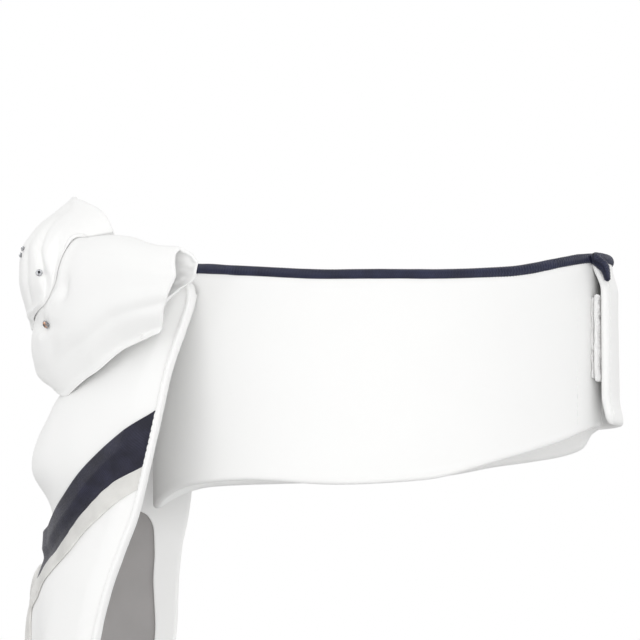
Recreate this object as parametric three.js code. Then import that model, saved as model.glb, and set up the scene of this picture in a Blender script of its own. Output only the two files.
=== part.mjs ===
// A ready-tied riding stock: a tall collar band, a gathered knot with crystals, and a bib.
// Millimetres, +Z up. The origin is the middle of the neck, the front faces -Y, the wearer's left is +X.

import * as THREE from "three";

// The collar band: an oval round the neck, and how its tab closes over its under end at the back.
const NECK_HALF_WIDTH = 54;
const NECK_HALF_DEPTH = 68.5;
const BAND_WALL = 2.4;
const BAND_COLUMNS = 60;
const UNDER_END = 195;
const TAB_END = -207;

// Degrees round the neck from the centre front, + to the wearer's left: the band's two edges, and how far
// it steps outwards. The tab laps outside the under end, which steps inwards.
const BAND_ROWS = [
  { turn: -207, top: 14.9, bottom: -32.4, out: 5.2 },
  { turn: -195, top: 15.2, bottom: -32.6, out: 4.2 },
  { turn: -180, top: 15.4, bottom: -32.7, out: 3.4 },
  { turn: -162, top: 15.4, bottom: -32.8, out: 3.2 },
  { turn: -157, top: 15.2, bottom: -34.4, out: 2.8 },
  { turn: -153, top: 14.9, bottom: -38.6, out: 2.3 },
  { turn: -145, top: 13.2, bottom: -40.8, out: 1.2 },
  { turn: -135, top: 11.2, bottom: -42.2, out: 0 },
  { turn: -123, top: 9.3, bottom: -43.6, out: 0 },
  { turn: -106, top: 7.7, bottom: -46.6, out: 0 },
  { turn: -80, top: 7.4, bottom: -48.2, out: 0 },
  { turn: -39, top: 10.4, bottom: -50, out: 0 },
  { turn: 0, top: 12.6, bottom: -57, out: 0 },
  { turn: 39, top: 10.8, bottom: -50.1, out: 0 },
  { turn: 56, top: 9.2, bottom: -49.2, out: 0 },
  { turn: 80, top: 7.5, bottom: -50.6, out: 0 },
  { turn: 100, top: 7.5, bottom: -49.4, out: 0 },
  { turn: 122, top: 8.7, bottom: -43.3, out: 0 },
  { turn: 143, top: 12.7, bottom: -37.3, out: 0 },
  { turn: 152, top: 14.2, bottom: -34.8, out: 0 },
  { turn: 165, top: 15.2, bottom: -32.9, out: -1.2 },
  { turn: 180, top: 15.4, bottom: -32.7, out: -1.9 },
  { turn: 195, top: 15.4, bottom: -32.6, out: -1.9 },
];

// The cord on the band's top edge. Past the tab's end it turns down: degrees past the end, and the drop.
const PIPING_RADIUS = 1.45;
const PIPING_TIP_RADIUS = 0.9;
const PIPING_STEPS = 58;
const PIPING_SIDES = 8;
const PIPING_END = [[0.6, 0.5], [1.6, 2], [1.6, 4.4], [1.6, 6.5]];

// The two tapes of the closure, measured outwards from the band's outer face.
const LOOP_TAPE = { from: 149, to: 192, inner: 0.3, outer: 1.2, low: -24.6, high: 9.6 };
const HOOK_TAPE = { from: 155, to: 190, inner: 1.5, outer: 2.5, low: -24.6, high: 9.6 };
const TAPE_COLUMNS = 9;

// The smallest gap between two pieces that touch.
const SEAM = 0.3;

// The bib's inner face. Each row is a level: how far the arc reaches to the front, how wide and how far
// back its left and right edges lie, and the degrees that half the arc turns through.
const BIB_ROWS = [
  { z: -152, front: -97, half: 40, left: -84, right: -72, turn: 60 },
  { z: -120, front: -100, half: 44, left: -82, right: -69, turn: 64 },
  { z: -92, front: -100.6, half: 46.5, left: -77.4, right: -64.4, turn: 67 },
  { z: -81, front: -99.5, half: 47.5, left: -73.2, right: -64.2, turn: 68 },
  { z: -69, front: -97.3, half: 48, left: -69, right: -63.2, turn: 68 },
  { z: -59, front: -96, half: 48, left: -65.9, right: -61.2, turn: 68 },
  { z: -44, front: -96.4, half: 47, left: -63.6, right: -59.4, turn: 68 },
  { z: -29, front: -93, half: 45, left: -62.3, right: -58, turn: 65 },
  { z: -19, front: -89.3, half: 43, left: -58.6, right: -55.8, turn: 60 },
  { z: -5, front: -76, half: 39.6, left: -54.8, right: -53.2, turn: 50 },
  { z: 2, front: -70.4, half: 37.2, left: -52.2, right: -51.9, turn: 43.6 },
  { z: 9, front: -68.8, half: 36.3, left: -51.2, right: -51.2, turn: 41.9 },
];

// The bib's outline: a level top, and a lower edge that rises from the centre to the sides.
const BIB_TOP = 8;
const BIB_CORNER_DROP = 2.5;
const BIB_CORNER_POWER = 8;
const BIB_BOTTOM = -150;
const BIB_SIDE_RISE = 34;
const BIB_SIDE_POWER = 2.2;
const CLOTH_SIDE = 0.95;
const BINDING_SIDE = 0.984;
const BINDING_RADIUS = 1.3;
const BINDING_HEIGHT = 1.75;
const BINDING_STEPS = 16;
const BINDING_SIDES = 6;
const BINDING_CORNER = [[0.78, 1.8], [0.86, 1.9], [0.93, 1.85], [0.972, 1.05]];
const BIB_ARC = 52;

// The levels that the bib's whole sheets share, closer where the bib bends forward off the band.
const BIB_LEVELS = [8, 4.5, 1.5, -2, -6, -11, -17, -23, -29, -36, -45, -57, -72, -90];
const PANEL_LEVELS = 8;

// Heights above the bib's inner face.
const BACKING = { inner: 0, outer: 1.2 };
const PANEL = { inner: 1.6, outer: 2.7 };
const PANEL_TUCK = 3;
const WRAP = { inner: 1.8, outer: 2.9 };
const STEP_OVER_PANEL = 1.5;
const STEP_STARTS = 5;
const STEP_ENDS = 9.5;
const CROSSING_LIFT = 1.8;
const TRIM = { inner: 3.35, outer: 4.35 };
const TRIM_WIDTH = 4.6;
const TRIM_SWELL = { height: 1.4, side: -0.16, width: 0.1 };

// Where the left trim turns down the crossing edge, and where the right one ends against it.
const TRIM_TURN = [[0.02, -86], [-0.025, -90], [-0.052, -96], [-0.06, -106], [-0.06, -127], [-0.06, -149]];
const TRIM_MEETS = [-0.094, -82.9];

// The soft puff of the upper panel under the knot.
const PUFF = { height: 6, level: -44.5, above: 15, below: 8.5, half: 0.42 };

// Long soft folds that run down the lower half of the bib.
const FOLD_ROWS = [
  { side: -0.72, width: 0.16, height: 1.6, from: -62 },
  { side: -0.34, width: 0.13, height: -1.1, from: -78 },
  { side: 0.22, width: 0.14, height: -1.0, from: -84 },
  { side: 0.6, width: 0.15, height: 1.3, from: -72 },
];
const FOLD_EASE = 30;

// The V's lines by side (0 centre, 1 the bib's edge): the navy band's edges and the trim's lower edge.
const V_ROWS = [
  { side: 0, navyTop: -65, navyBottom: -83.5, trimBottom: -88.5 },
  { side: 0.12, navyTop: -62.8, navyBottom: -79.4, trimBottom: -85 },
  { side: 0.25, navyTop: -59.6, navyBottom: -74.5, trimBottom: -80.8 },
  { side: 0.35, navyTop: -56.4, navyBottom: -70.9, trimBottom: -77.4 },
  { side: 0.5, navyTop: -51.7, navyBottom: -66.1, trimBottom: -72.1 },
  { side: 0.7, navyTop: -42.5, navyBottom: -56.8, trimBottom: -62.6 },
  { side: 0.85, navyTop: -35.4, navyBottom: -50.2, trimBottom: -56 },
  { side: 1, navyTop: -29.4, navyBottom: -44.5, trimBottom: -50.2 },
];

// The left arm of the V lies over the right one, and runs one column of the bib's grid past the centre.
const SIDE_COLUMNS = 12;
const SIDE_COLUMN = CLOTH_SIDE / SIDE_COLUMNS;
const CROSSING_FROM = 0.03;
const CROSSING_EASE = 0.2;
const NAVY_TUCK = 0.8;

// The knot's loops. Each row is a station from the front centre to the open mouth: the middle of the
// section, how far it reaches up, down, outwards and inwards, and the depth of the crease above its lip.
const LOBE_WALL = 1.5;
const LOBE_ROWS = [
  { at: 0, x: 0.5, y: -97.5, z: -8.5, up: 12, down: 8.5, out: 5.2, in: 2.5, crease: 0 },
  { at: 0.05, x: 3.4, y: -97.4, z: -8.4, up: 16, down: 11.5, out: 7.5, in: 3.5, crease: 0 },
  { at: 0.14, x: 9.5, y: -96.5, z: -7.5, up: 19.5, down: 14, out: 8.2, in: 5, crease: 0.3 },
  { at: 0.3, x: 19.5, y: -92.5, z: -3, up: 23.5, down: 19.3, out: 8.5, in: 7.2, crease: 1.2 },
  { at: 0.5, x: 30, y: -84, z: 2.5, up: 20.8, down: 20, out: 9, in: 7, crease: 2 },
  { at: 0.72, x: 39.5, y: -72.5, z: 5.5, up: 16.5, down: 16.5, out: 8, in: 6, crease: 2 },
  { at: 0.9, x: 46.5, y: -63.5, z: 6.3, up: 12, down: 12.5, out: 5.5, in: 4.5, crease: 1.4 },
  { at: 1, x: 49.5, y: -58.8, z: 6.3, up: 11, down: 11.2, out: 4, in: 4, crease: 0.8 },
];
const LOBE_MOUTH = { from: 0.7, inwardReach: 6, lowerShort: 5, lowerInnerShort: 7 };
const LOBE_CREASE = { turn: -52, width: 13, lipTurn: -82, lipWidth: 12, lip: 1.2 };
const LOBE_DIMPLE = { at: 0.33, turn: -6, depth: 2, stations: 0.09, spread: 28 };
const RIGHT_LOBE_RAISE = { by: 3, over: 0.4 };
const LOBE_STATIONS = 13;
const LOBE_INNER_START = 0.03;
const LOBE_SPACING = 1.25;
const LOBE_SIDES = 22;

// The gathered centre: a sheet bent round the front of the knot. Each row is a level of its front
// half: how far it reaches forwards, how wide it is, how far back its edges come, and its sideways lean.
const PUFF_WALL = 1.6;
const PUFF_ROWS = [
  { up: 0, z: -2.5, front: -106.8, half: 13.5, back: -104.8, lean: 0 },
  { up: 0.15, z: 3, front: -109, half: 15.5, back: -103.4, lean: 0 },
  { up: 0.35, z: 12, front: -110.6, half: 17.5, back: -101.6, lean: 0 },
  { up: 0.55, z: 20.5, front: -111, half: 21, back: -98.6, lean: -0.5 },
  { up: 0.72, z: 27.5, front: -107.8, half: 24, back: -94.6, lean: -1.5 },
  { up: 0.87, z: 33, front: -102, half: 25.5, back: -90.5, lean: -3 },
  { up: 1, z: 36.8, front: -95.5, half: 25, back: -86.5, lean: -4.5 },
];
const PUFF_TIP = { side: -0.25, width: 0.5, rise: 3.2 };
const PUFF_ROOT = { drop: 3.5, over: 0.3 };
const PUFF_SHOULDER = { left: 9, right: 6, from: 0.2, power: 3 };
const PUFF_FOLD_ROOT = 0.35;
const PUFF_COLUMNS = 26;
const PUFF_LEVELS = 10;
const PUFF_FOLDS = [
  { side: -0.62, width: 0.14, depth: 1.5 },
  { side: -0.28, width: 0.1, depth: 1.3 },
  { side: 0.06, width: 0.09, depth: 1.1 },
  { side: 0.34, width: 0.1, depth: 1.6 },
  { side: 0.66, width: 0.13, depth: 1.4 },
];

// Cut crystals: where each sits on the gathered centre (side and up) or on a loop (at and turn). The
// profile is in radii: from the flat back, over the girdle, to the table.
const CRYSTAL_FACETS = 8;
const CRYSTAL_PROFILE = [[0, 0], [0.8, 0], [1, 0.35], [1, 0.5], [0.55, 0.95], [0, 0.95]];
const DIMPLE_SEAM = 0.65;
const CRYSTALS = [
  { name: "crystal_a", on: "puff", side: 0.06, up: 0.53, radius: 1.1 },
  { name: "crystal_b", on: "puff", side: -0.09, up: 0.46, radius: 1.1 },
  { name: "crystal_c", on: "puff", side: 0.9, up: 0.38, radius: 1.25 },
  { name: "crystal_d", on: "left", at: 0.33, turn: -6, radius: 1.5 },
  { name: "crystal_e", on: "puff", side: -0.9, up: 0.38, radius: 1.25 },
  { name: "crystal_f", on: "right", at: 0.33, turn: -6, radius: 1.5 },
];

// Finishes.
const SATIN = new THREE.MeshStandardMaterial({ color: 0xf4f3f1, roughness: 0.45, metalness: 0 });
const NAVY = new THREE.MeshStandardMaterial({ color: 0x14162a, roughness: 0.4, metalness: 0 });
const SILVER = new THREE.MeshStandardMaterial({ color: 0xb9b2a6, roughness: 0.35, metalness: 0.2 });
const TAPE = new THREE.MeshStandardMaterial({ color: 0xeeece8, roughness: 0.9, metalness: 0 });
const CRYSTAL = new THREE.MeshStandardMaterial({ color: 0xd5d8dc, roughness: 0.08, metalness: 0.6 });
const COPPER = new THREE.MeshStandardMaterial({ color: 0x9a5a3a, roughness: 0.12, metalness: 0.6 });

const group = new THREE.Group();
const UP = new THREE.Vector3(0, 0, 1);
const radians = THREE.MathUtils.degToRad;
const smoothstep = THREE.MathUtils.smoothstep;
const lerp = THREE.MathUtils.lerp;
const bell = (x, middle, width) => Math.exp(-(((x - middle) / width) ** 2));

// A smooth curve through one column of a table. It never overshoots its rows.
function curve(rows, by, name) {
  const x = rows.map((row) => row[by]);
  const y = rows.map((row) => row[name]);
  const last = x.length - 1;
  const rise = (i) => (y[i + 1] - y[i]) / (x[i + 1] - x[i]);
  const slope = x.map((_, i) => {
    if (i === 0) return rise(0);
    if (i === last) return rise(last - 1);
    const before = rise(i - 1);
    const after = rise(i);
    return before * after <= 0 ? 0 : (2 * before * after) / (before + after);
  });
  return (value) => {
    if (value <= x[0]) return y[0] + slope[0] * (value - x[0]);
    if (value >= x[last]) return y[last] + slope[last] * (value - x[last]);
    const i = x.findIndex((_, k) => value < x[k + 1]);
    const span = x[i + 1] - x[i];
    const t = (value - x[i]) / span;
    const from = (1 + 2 * t) * (1 - t) ** 2 * y[i] + t * (1 - t) ** 2 * span * slope[i];
    const to = t * t * (3 - 2 * t) * y[i + 1] - t * t * (1 - t) * span * slope[i + 1];
    return from + to;
  };
}

// Every column of a table as a smooth curve.
function curves(rows, by) {
  const names = Object.keys(rows[0]).filter((name) => name !== by);
  return Object.fromEntries(names.map((name) => [name, curve(rows, by, name)]));
}

// A named solid from points and triangles, turned so that its faces point out.
function addSolid(name, points, triangles, material) {
  const cross = new THREE.Vector3();
  let volume = 0;
  for (const [a, b, c] of triangles) volume += points[a].dot(cross.crossVectors(points[b], points[c]));
  const order = volume < 0 ? triangles.map(([a, b, c]) => [a, c, b]) : triangles;
  const geometry = new THREE.BufferGeometry();
  const numbers = points.flatMap((point) => point.toArray());
  geometry.setAttribute("position", new THREE.Float32BufferAttribute(numbers, 3));
  geometry.setIndex(order.flat());
  geometry.computeVertexNormals();
  const mesh = new THREE.Mesh(geometry, material);
  mesh.name = name;
  group.add(mesh);
}

// A closed sheet between two surfaces of (u, v), each from 0 to 1.
function addSheet(name, across, along, front, back, material) {
  const points = [];
  const triangles = [];
  const row = across + 1;
  const side = row * (along + 1);
  for (const surface of [front, back]) {
    for (let j = 0; j <= along; j += 1) {
      for (let i = 0; i <= across; i += 1) points.push(surface(i / across, j / along));
    }
  }
  for (let j = 0; j < along; j += 1) {
    for (let i = 0; i < across; i += 1) {
      const a = j * row + i;
      triangles.push([a, a + 1, a + row], [a + 1, a + row + 1, a + row]);
      triangles.push([side + a, side + a + row, side + a + 1]);
      triangles.push([side + a + 1, side + a + row, side + a + row + 1]);
    }
  }
  const rim = [];
  for (let i = 0; i < across; i += 1) rim.push(i);
  for (let j = 0; j < along; j += 1) rim.push(j * row + across);
  for (let i = across; i > 0; i -= 1) rim.push(along * row + i);
  for (let j = along; j > 0; j -= 1) rim.push(j * row);
  rim.forEach((a, i) => {
    const b = rim[(i + 1) % rim.length];
    triangles.push([a, side + a, b], [b, side + a, side + b]);
  });
  addSolid(name, points, triangles, material);
}

// A round cord of a changing radius along a path, closed at both ends.
function addCord(name, path, radiusAt, sides, material) {
  const points = [];
  const triangles = [];
  let across = null;
  path.forEach((point, k) => {
    const before = path[Math.max(k - 1, 0)];
    const after = path[Math.min(k + 1, path.length - 1)];
    const along = after.clone().sub(before).normalize();
    if (across === null) across = new THREE.Vector3().crossVectors(along, UP).normalize();
    across.addScaledVector(along, -across.dot(along)).normalize();
    const other = new THREE.Vector3().crossVectors(along, across);
    for (let i = 0; i < sides; i += 1) {
      const turn = (2 * Math.PI * (i + 0.5)) / sides;
      const ring = point.clone().addScaledVector(across, radiusAt(k) * Math.cos(turn));
      points.push(ring.addScaledVector(other, radiusAt(k) * Math.sin(turn)));
    }
  });
  for (let k = 0; k + 1 < path.length; k += 1) {
    for (let i = 0; i < sides; i += 1) {
      const a = k * sides + i;
      const b = k * sides + ((i + 1) % sides);
      triangles.push([a, b, a + sides], [b, b + sides, a + sides]);
    }
  }
  const end = (path.length - 1) * sides;
  for (let i = 1; i + 1 < sides; i += 1) triangles.push([0, i + 1, i], [end, end + i, end + i + 1]);
  addSolid(name, points, triangles, material);
}

// A point at a turn round the neck, a distance out from the band's outer face, at height z.
function round(turn, out, z) {
  const angle = radians(turn);
  const x = (NECK_HALF_WIDTH + out) * Math.sin(angle);
  const y = -(NECK_HALF_DEPTH + out) * Math.cos(angle);
  return new THREE.Vector3(x, y, z);
}

const band = curves(BAND_ROWS, "turn");

function buildBand() {
  const turnAt = (u) => lerp(TAB_END, UNDER_END, u);
  const face = (out) => (u, v) => {
    const turn = turnAt(u);
    return round(turn, band.out(turn) + out, lerp(band.bottom(turn), band.top(turn), v));
  };
  addSheet("collar_band", BAND_COLUMNS, 1, face(0), face(-BAND_WALL), SATIN);
}

// The cord runs from the under end to the tab, then turns down over the tab's end.
function buildPiping() {
  const middle = -BAND_WALL / 2;
  const height = SEAM + PIPING_RADIUS;
  const path = [];
  for (let i = 0; i <= PIPING_STEPS; i += 1) {
    const turn = lerp(UNDER_END, TAB_END + 1, i / PIPING_STEPS);
    path.push(round(turn, band.out(turn) + middle, band.top(turn) + height));
  }
  const straight = path.length;
  for (const [past, drop] of PIPING_END) {
    path.push(round(TAB_END - past, band.out(TAB_END) + middle, band.top(TAB_END) + height - drop));
  }
  const taper = (k) => Math.max(0, k - straight) / (PIPING_END.length - 1);
  const radius = (k) => lerp(PIPING_RADIUS, PIPING_TIP_RADIUS, taper(k));
  addCord("collar_piping", path, radius, PIPING_SIDES, NAVY);
}

function buildTape(name, tape) {
  const face = (out) => (u, v) => {
    const turn = lerp(tape.from, tape.to, u);
    return round(turn, band.out(turn) + out, lerp(tape.low, tape.high, v));
  };
  addSheet(name, TAPE_COLUMNS, 1, face(tape.outer), face(tape.inner), TAPE);
}

// The bib's inner face at a side (-1 right edge to 1 left edge) and level, and a height above it.
const bib = curves(BIB_ROWS, "z");

function bibBase(side, z) {
  const turn = radians(bib.turn(z));
  const edge = side > 0 ? bib.left(z) : bib.right(z);
  const x = (bib.half(z) * Math.sin(turn * side)) / Math.sin(turn);
  const back = (1 - Math.cos(turn * side)) / (1 - Math.cos(turn));
  const fold = FOLD_ROWS.reduce((sum, row) => {
    const grown = 1 - smoothstep(z, row.from - FOLD_EASE, row.from);
    return sum + row.height * bell(side, row.side, row.width) * grown;
  }, 0);
  return new THREE.Vector3(x, lerp(bib.front(z), edge, back) - fold, z);
}

function bibPoint(side, z, height) {
  const step = 0.01;
  const across = bibBase(side + step, z).sub(bibBase(side - step, z));
  const rise = bibBase(side, z + 0.2).sub(bibBase(side, z - 0.2));
  const normal = across.cross(rise).normalize();
  return bibBase(side, z).addScaledVector(normal, height);
}

const panelPuff = (side, z) => {
  const reach = z > PUFF.level ? PUFF.above : PUFF.below;
  return PUFF.height * bell(side, 0, PUFF.half) * bell(z, PUFF.level, reach);
};
const bibLow = (side) => BIB_BOTTOM + BIB_SIDE_RISE * Math.abs(side) ** BIB_SIDE_POWER;
const bibHigh = (side) => BIB_TOP - BIB_CORNER_DROP * Math.abs(side) ** BIB_CORNER_POWER;
const vee = curves(V_ROWS, "side");

// A piece of the bib between two edges, each a level for a side, with its own inner and outer height.
// Its first rows may lie on levels that it shares with the sheets beneath it.
function addBibPiece(name, shape, material) {
  const levels = shape.levels ?? [0];
  const levelAt = (side, v) => {
    const row = Math.round(v * shape.along);
    const shared = levels[Math.min(row, levels.length - 1)];
    const start = row === 0 || levels.length === 1 ? shape.high(side) : shared;
    const below = Math.max(0, row - levels.length + 1) / (shape.along - levels.length + 1);
    return lerp(start, shape.low(side), below);
  };
  const face = (height) => (u, v) => {
    const side = lerp(shape.from, shape.to, u);
    const z = levelAt(side, v);
    return bibPoint(side, z, height(side, z));
  };
  addSheet(name, shape.across, shape.along, face(shape.outer), face(shape.inner), material);
}

function buildBacking() {
  addBibPiece("bib_backing", {
    from: -CLOTH_SIDE, to: CLOTH_SIDE, across: 2 * SIDE_COLUMNS, along: BIB_LEVELS.length + 2,
    levels: BIB_LEVELS,
    low: bibLow, high: bibHigh,
    inner: () => BACKING.inner, outer: () => BACKING.outer,
  }, SATIN);
}

function buildUpperPanel() {
  addBibPiece("bib_upper_panel", {
    from: -CLOTH_SIDE, to: CLOTH_SIDE, across: 2 * SIDE_COLUMNS, along: PANEL_LEVELS + 6,
    levels: BIB_LEVELS.slice(0, PANEL_LEVELS),
    low: (side) => vee.navyTop(Math.abs(side)) - PANEL_TUCK,
    high: bibHigh,
    inner: (side, z) => PANEL.inner + panelPuff(side, z),
    outer: (side, z) => PANEL.outer + panelPuff(side, z),
  }, SATIN);
}

// A flat ribbon laid on the bib along a path of sides and levels. Its ends are cut along the bib's side
// where plumb says so, and square to its path elsewhere.
function addRibbon(name, path, plumb, inner, outer, material) {
  const place = (height) => (u, v) => {
    const k = Math.round(u * (path.length - 1));
    const [side, z] = path[k];
    const before = path[Math.max(k - 1, 0)];
    const after = path[Math.min(k + 1, path.length - 1)];
    const along = new THREE.Vector2((after[0] - before[0]) * BIB_ARC, after[1] - before[1]).normalize();
    const offset = (v - 0.5) * TRIM_WIDTH;
    if (plumb.includes(k)) return bibPoint(side, z + offset / along.x, height(side, z));
    const ribbonSide = side - (along.y * offset) / BIB_ARC;
    const ribbonZ = z + along.x * offset;
    return bibPoint(ribbonSide, ribbonZ, height(side, z));
  };
  addSheet(name, path.length - 1, 1, place(outer), place(inner), material);
}

// One arm of the V: the navy band, the trim under it and the white panel below, on the wearer's left
// (+1) or right (-1). The arm that lies over the other is lifted where they cross.
function buildArm(sign, label) {
  const over = sign > 0;
  const past = over ? 1 : 0;
  const line = (name) => (side) => {
    const at = side * sign;
    return at >= 0 ? vee[name](at) : 2 * vee[name](0) - vee[name](-at);
  };
  const navyTop = line("navyTop");
  const navyBottom = line("navyBottom");
  const trimBottom = line("trimBottom");
  const crossing = (side) => 1 - smoothstep(side * sign, CROSSING_FROM, CROSSING_EASE);
  const lift = (side) => (over ? CROSSING_LIFT * crossing(side) : 0);
  const stepUp = (side, z) => {
    const edge = vee.navyTop(Math.abs(side));
    return STEP_OVER_PANEL * smoothstep(z, edge - STEP_ENDS, edge - STEP_STARTS);
  };
  const level = (height) => (side, z) => height + lift(side) + stepUp(side, z) + panelPuff(side, z);
  const span = { from: -past * SIDE_COLUMN * sign, to: CLOTH_SIDE * sign, across: SIDE_COLUMNS + past };
  addBibPiece(`navy_band_${label}`, {
    ...span, along: 4,
    low: (side) => navyBottom(side) - NAVY_TUCK,
    high: navyTop,
    inner: level(WRAP.inner), outer: level(WRAP.outer),
  }, NAVY);
  addBibPiece(`bib_wrap_${label}`, {
    ...span, along: 6,
    low: bibLow,
    high: (side) => navyBottom(side) - NAVY_TUCK - SEAM,
    inner: level(WRAP.inner), outer: level(WRAP.outer),
  }, SATIN);
  const middle = [];
  for (let i = SIDE_COLUMNS; i > (over ? 0 : 1); i -= 1) {
    const side = i * SIDE_COLUMN * sign;
    middle.push([side, 0.5 * (navyBottom(side) + trimBottom(side))]);
  }
  middle.push(...(over ? TRIM_TURN : [TRIM_MEETS]));
  const swell = (side) => TRIM_SWELL.height * bell(side, TRIM_SWELL.side, TRIM_SWELL.width);
  const trimInner = level(TRIM.inner);
  const trimLevel = level(TRIM.outer);
  const trimOuter = (side, z) => trimLevel(side, z) + swell(side);
  const plumb = over ? [0] : [0, middle.length - 1];
  addRibbon(`silver_trim_${label}`, middle, plumb, trimInner, trimOuter, SILVER);
}

// The folded hem: a cord from the top left corner down the side, along the bottom and up the other side.
function buildBinding() {
  const clear = BINDING_RADIUS + SEAM;
  const lowEdge = (side) => {
    const slope = (BIB_SIDE_RISE * BIB_SIDE_POWER * Math.abs(side) ** (BIB_SIDE_POWER - 1)) / BIB_ARC;
    return bibLow(side) - clear * Math.hypot(1, slope);
  };
  const half = [];
  for (const [side, above] of BINDING_CORNER) half.push([side, bibHigh(side) + above]);
  for (let i = 0; i < BINDING_STEPS; i += 1) {
    half.push([BINDING_SIDE, lerp(bibHigh(1) - 1, lowEdge(BINDING_SIDE), i / BINDING_STEPS)]);
  }
  half.push([BINDING_SIDE, lowEdge(BINDING_SIDE)]);
  for (let i = SIDE_COLUMNS; i > 0; i -= 1) half.push([i * SIDE_COLUMN, lowEdge(i * SIDE_COLUMN)]);
  const mirrored = half.map(([side, z]) => [-side, z]).reverse();
  const path = [...half, [0, lowEdge(0)], ...mirrored];
  const points = path.map(([side, z]) => bibPoint(side, z, BINDING_HEIGHT));
  addCord("bib_edge_binding", points, () => BINDING_RADIUS, BINDING_SIDES, SATIN);
}

// A point on a loop of the knot: station, turn round its section (0 outwards, 90 up) and depth inwards.
const lobe = curves(LOBE_ROWS, "at");

function lobePoint(sign, at, turn, depth) {
  const middle = (t) => new THREE.Vector3(lobe.x(t), lobe.y(t), lobe.z(t));
  const along = middle(at + 0.01).sub(middle(at - 0.01)).setZ(0).normalize();
  const outwards = new THREE.Vector3(-along.y, along.x, 0).negate();
  const angle = radians(turn);
  const sideways = Math.cos(angle) > 0 ? lobe.out(at) : lobe.in(at);
  const upright = Math.sin(angle) > 0 ? lobe.up(at) : lobe.down(at);
  const crease = lobe.crease(at) * bell(turn, LOBE_CREASE.turn, LOBE_CREASE.width);
  const lipAt = Math.min(1, lobe.crease(at)) * bell(turn, LOBE_CREASE.lipTurn, LOBE_CREASE.lipWidth);
  const spread = bell(turn, LOBE_DIMPLE.turn, LOBE_DIMPLE.spread);
  const dimple = LOBE_DIMPLE.depth * bell(at, LOBE_DIMPLE.at, LOBE_DIMPLE.stations) * spread;
  const shrink = depth + crease + dimple - LOBE_CREASE.lip * lipAt;
  const point = middle(at);
  point.addScaledVector(outwards, (sideways - shrink) * Math.cos(angle));
  point.addScaledVector(UP, (upright - shrink) * Math.sin(angle));
  const mouth = smoothstep(at, LOBE_MOUTH.from, 1);
  const inner = 0.5 * (1 - Math.cos(angle));
  const lower = Math.max(0, -Math.sin(angle));
  const short = (LOBE_MOUTH.lowerShort + LOBE_MOUTH.lowerInnerShort * inner) * lower;
  point.addScaledVector(along, (LOBE_MOUTH.inwardReach * inner - short) * mouth);
  point.x *= sign;
  if (sign < 0) point.z += RIGHT_LOBE_RAISE.by * smoothstep(at, 0, RIGHT_LOBE_RAISE.over);
  return point;
}

// A loop of the knot: a thin-walled bag, closed at the front centre and open at its mouth.
function buildLobe(sign, label) {
  const points = [];
  const triangles = [];
  const layers = [0, LOBE_WALL];
  const starts = [0, LOBE_INNER_START];
  layers.forEach((depth, layer) => {
    for (let k = 0; k <= LOBE_STATIONS; k += 1) {
      const at = lerp(starts[layer], 1, (k / LOBE_STATIONS) ** LOBE_SPACING);
      for (let i = 0; i < LOBE_SIDES; i += 1) {
        points.push(lobePoint(sign, at, -180 + (360 * i) / LOBE_SIDES, depth));
      }
    }
  });
  const ring = (layer, k) => (layer * (LOBE_STATIONS + 1) + k) * LOBE_SIDES;
  for (let i = 0; i < LOBE_SIDES; i += 1) {
    const next = (i + 1) % LOBE_SIDES;
    for (let k = 0; k < LOBE_STATIONS; k += 1) {
      const a = ring(0, k);
      const b = ring(0, k + 1);
      triangles.push([a + i, a + next, b + i], [a + next, b + next, b + i]);
      const c = ring(1, k);
      const d = ring(1, k + 1);
      triangles.push([c + i, d + i, c + next], [c + next, d + i, d + next]);
    }
    const outerRim = ring(0, LOBE_STATIONS);
    const innerRim = ring(1, LOBE_STATIONS);
    triangles.push([outerRim + i, outerRim + next, innerRim + i]);
    triangles.push([outerRim + next, innerRim + next, innerRim + i]);
  }
  const root = ring(1, 0);
  for (let i = 1; i + 1 < LOBE_SIDES; i += 1) {
    triangles.push([0, i + 1, i], [root, root + i, root + i + 1]);
  }
  addSolid(`knot_lobe_${label}`, points, triangles, SATIN);
}

// A point on the gathered centre: side (-1 to 1 round its front), up (0 to 1) and depth inwards.
const puff = curves(PUFF_ROWS, "up");

function puffPoint(side, up, depth) {
  const angle = side * Math.PI / 2;
  const folds = PUFF_FOLDS.reduce((sum, fold) => sum + fold.depth * bell(side, fold.side, fold.width), 0);
  const inset = depth + folds * lerp(PUFF_FOLD_ROOT, 1, up);
  const half = puff.half(up) - inset;
  const front = puff.front(up) + inset;
  const rise = PUFF_TIP.rise * bell(side, PUFF_TIP.side, PUFF_TIP.width);
  const shoulder = side > 0 ? PUFF_SHOULDER.left : PUFF_SHOULDER.right;
  const drop = shoulder * Math.abs(side) ** PUFF_SHOULDER.power;
  const x = puff.lean(up) + half * Math.sin(angle);
  const y = lerp(puff.back(up), front, Math.cos(angle));
  const root = PUFF_ROOT.drop * Math.cos(angle) ** 2 * (1 - smoothstep(up, 0, PUFF_ROOT.over));
  const z = puff.z(up) + (rise - drop) * smoothstep(up, PUFF_SHOULDER.from, 1) - root;
  return new THREE.Vector3(x, y, z);
}

function buildPuff() {
  const face = (depth) => (u, v) => puffPoint(lerp(-1, 1, u), v, depth);
  addSheet("knot_puff", PUFF_COLUMNS, PUFF_LEVELS, face(0), face(PUFF_WALL), SATIN);
}

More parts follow.
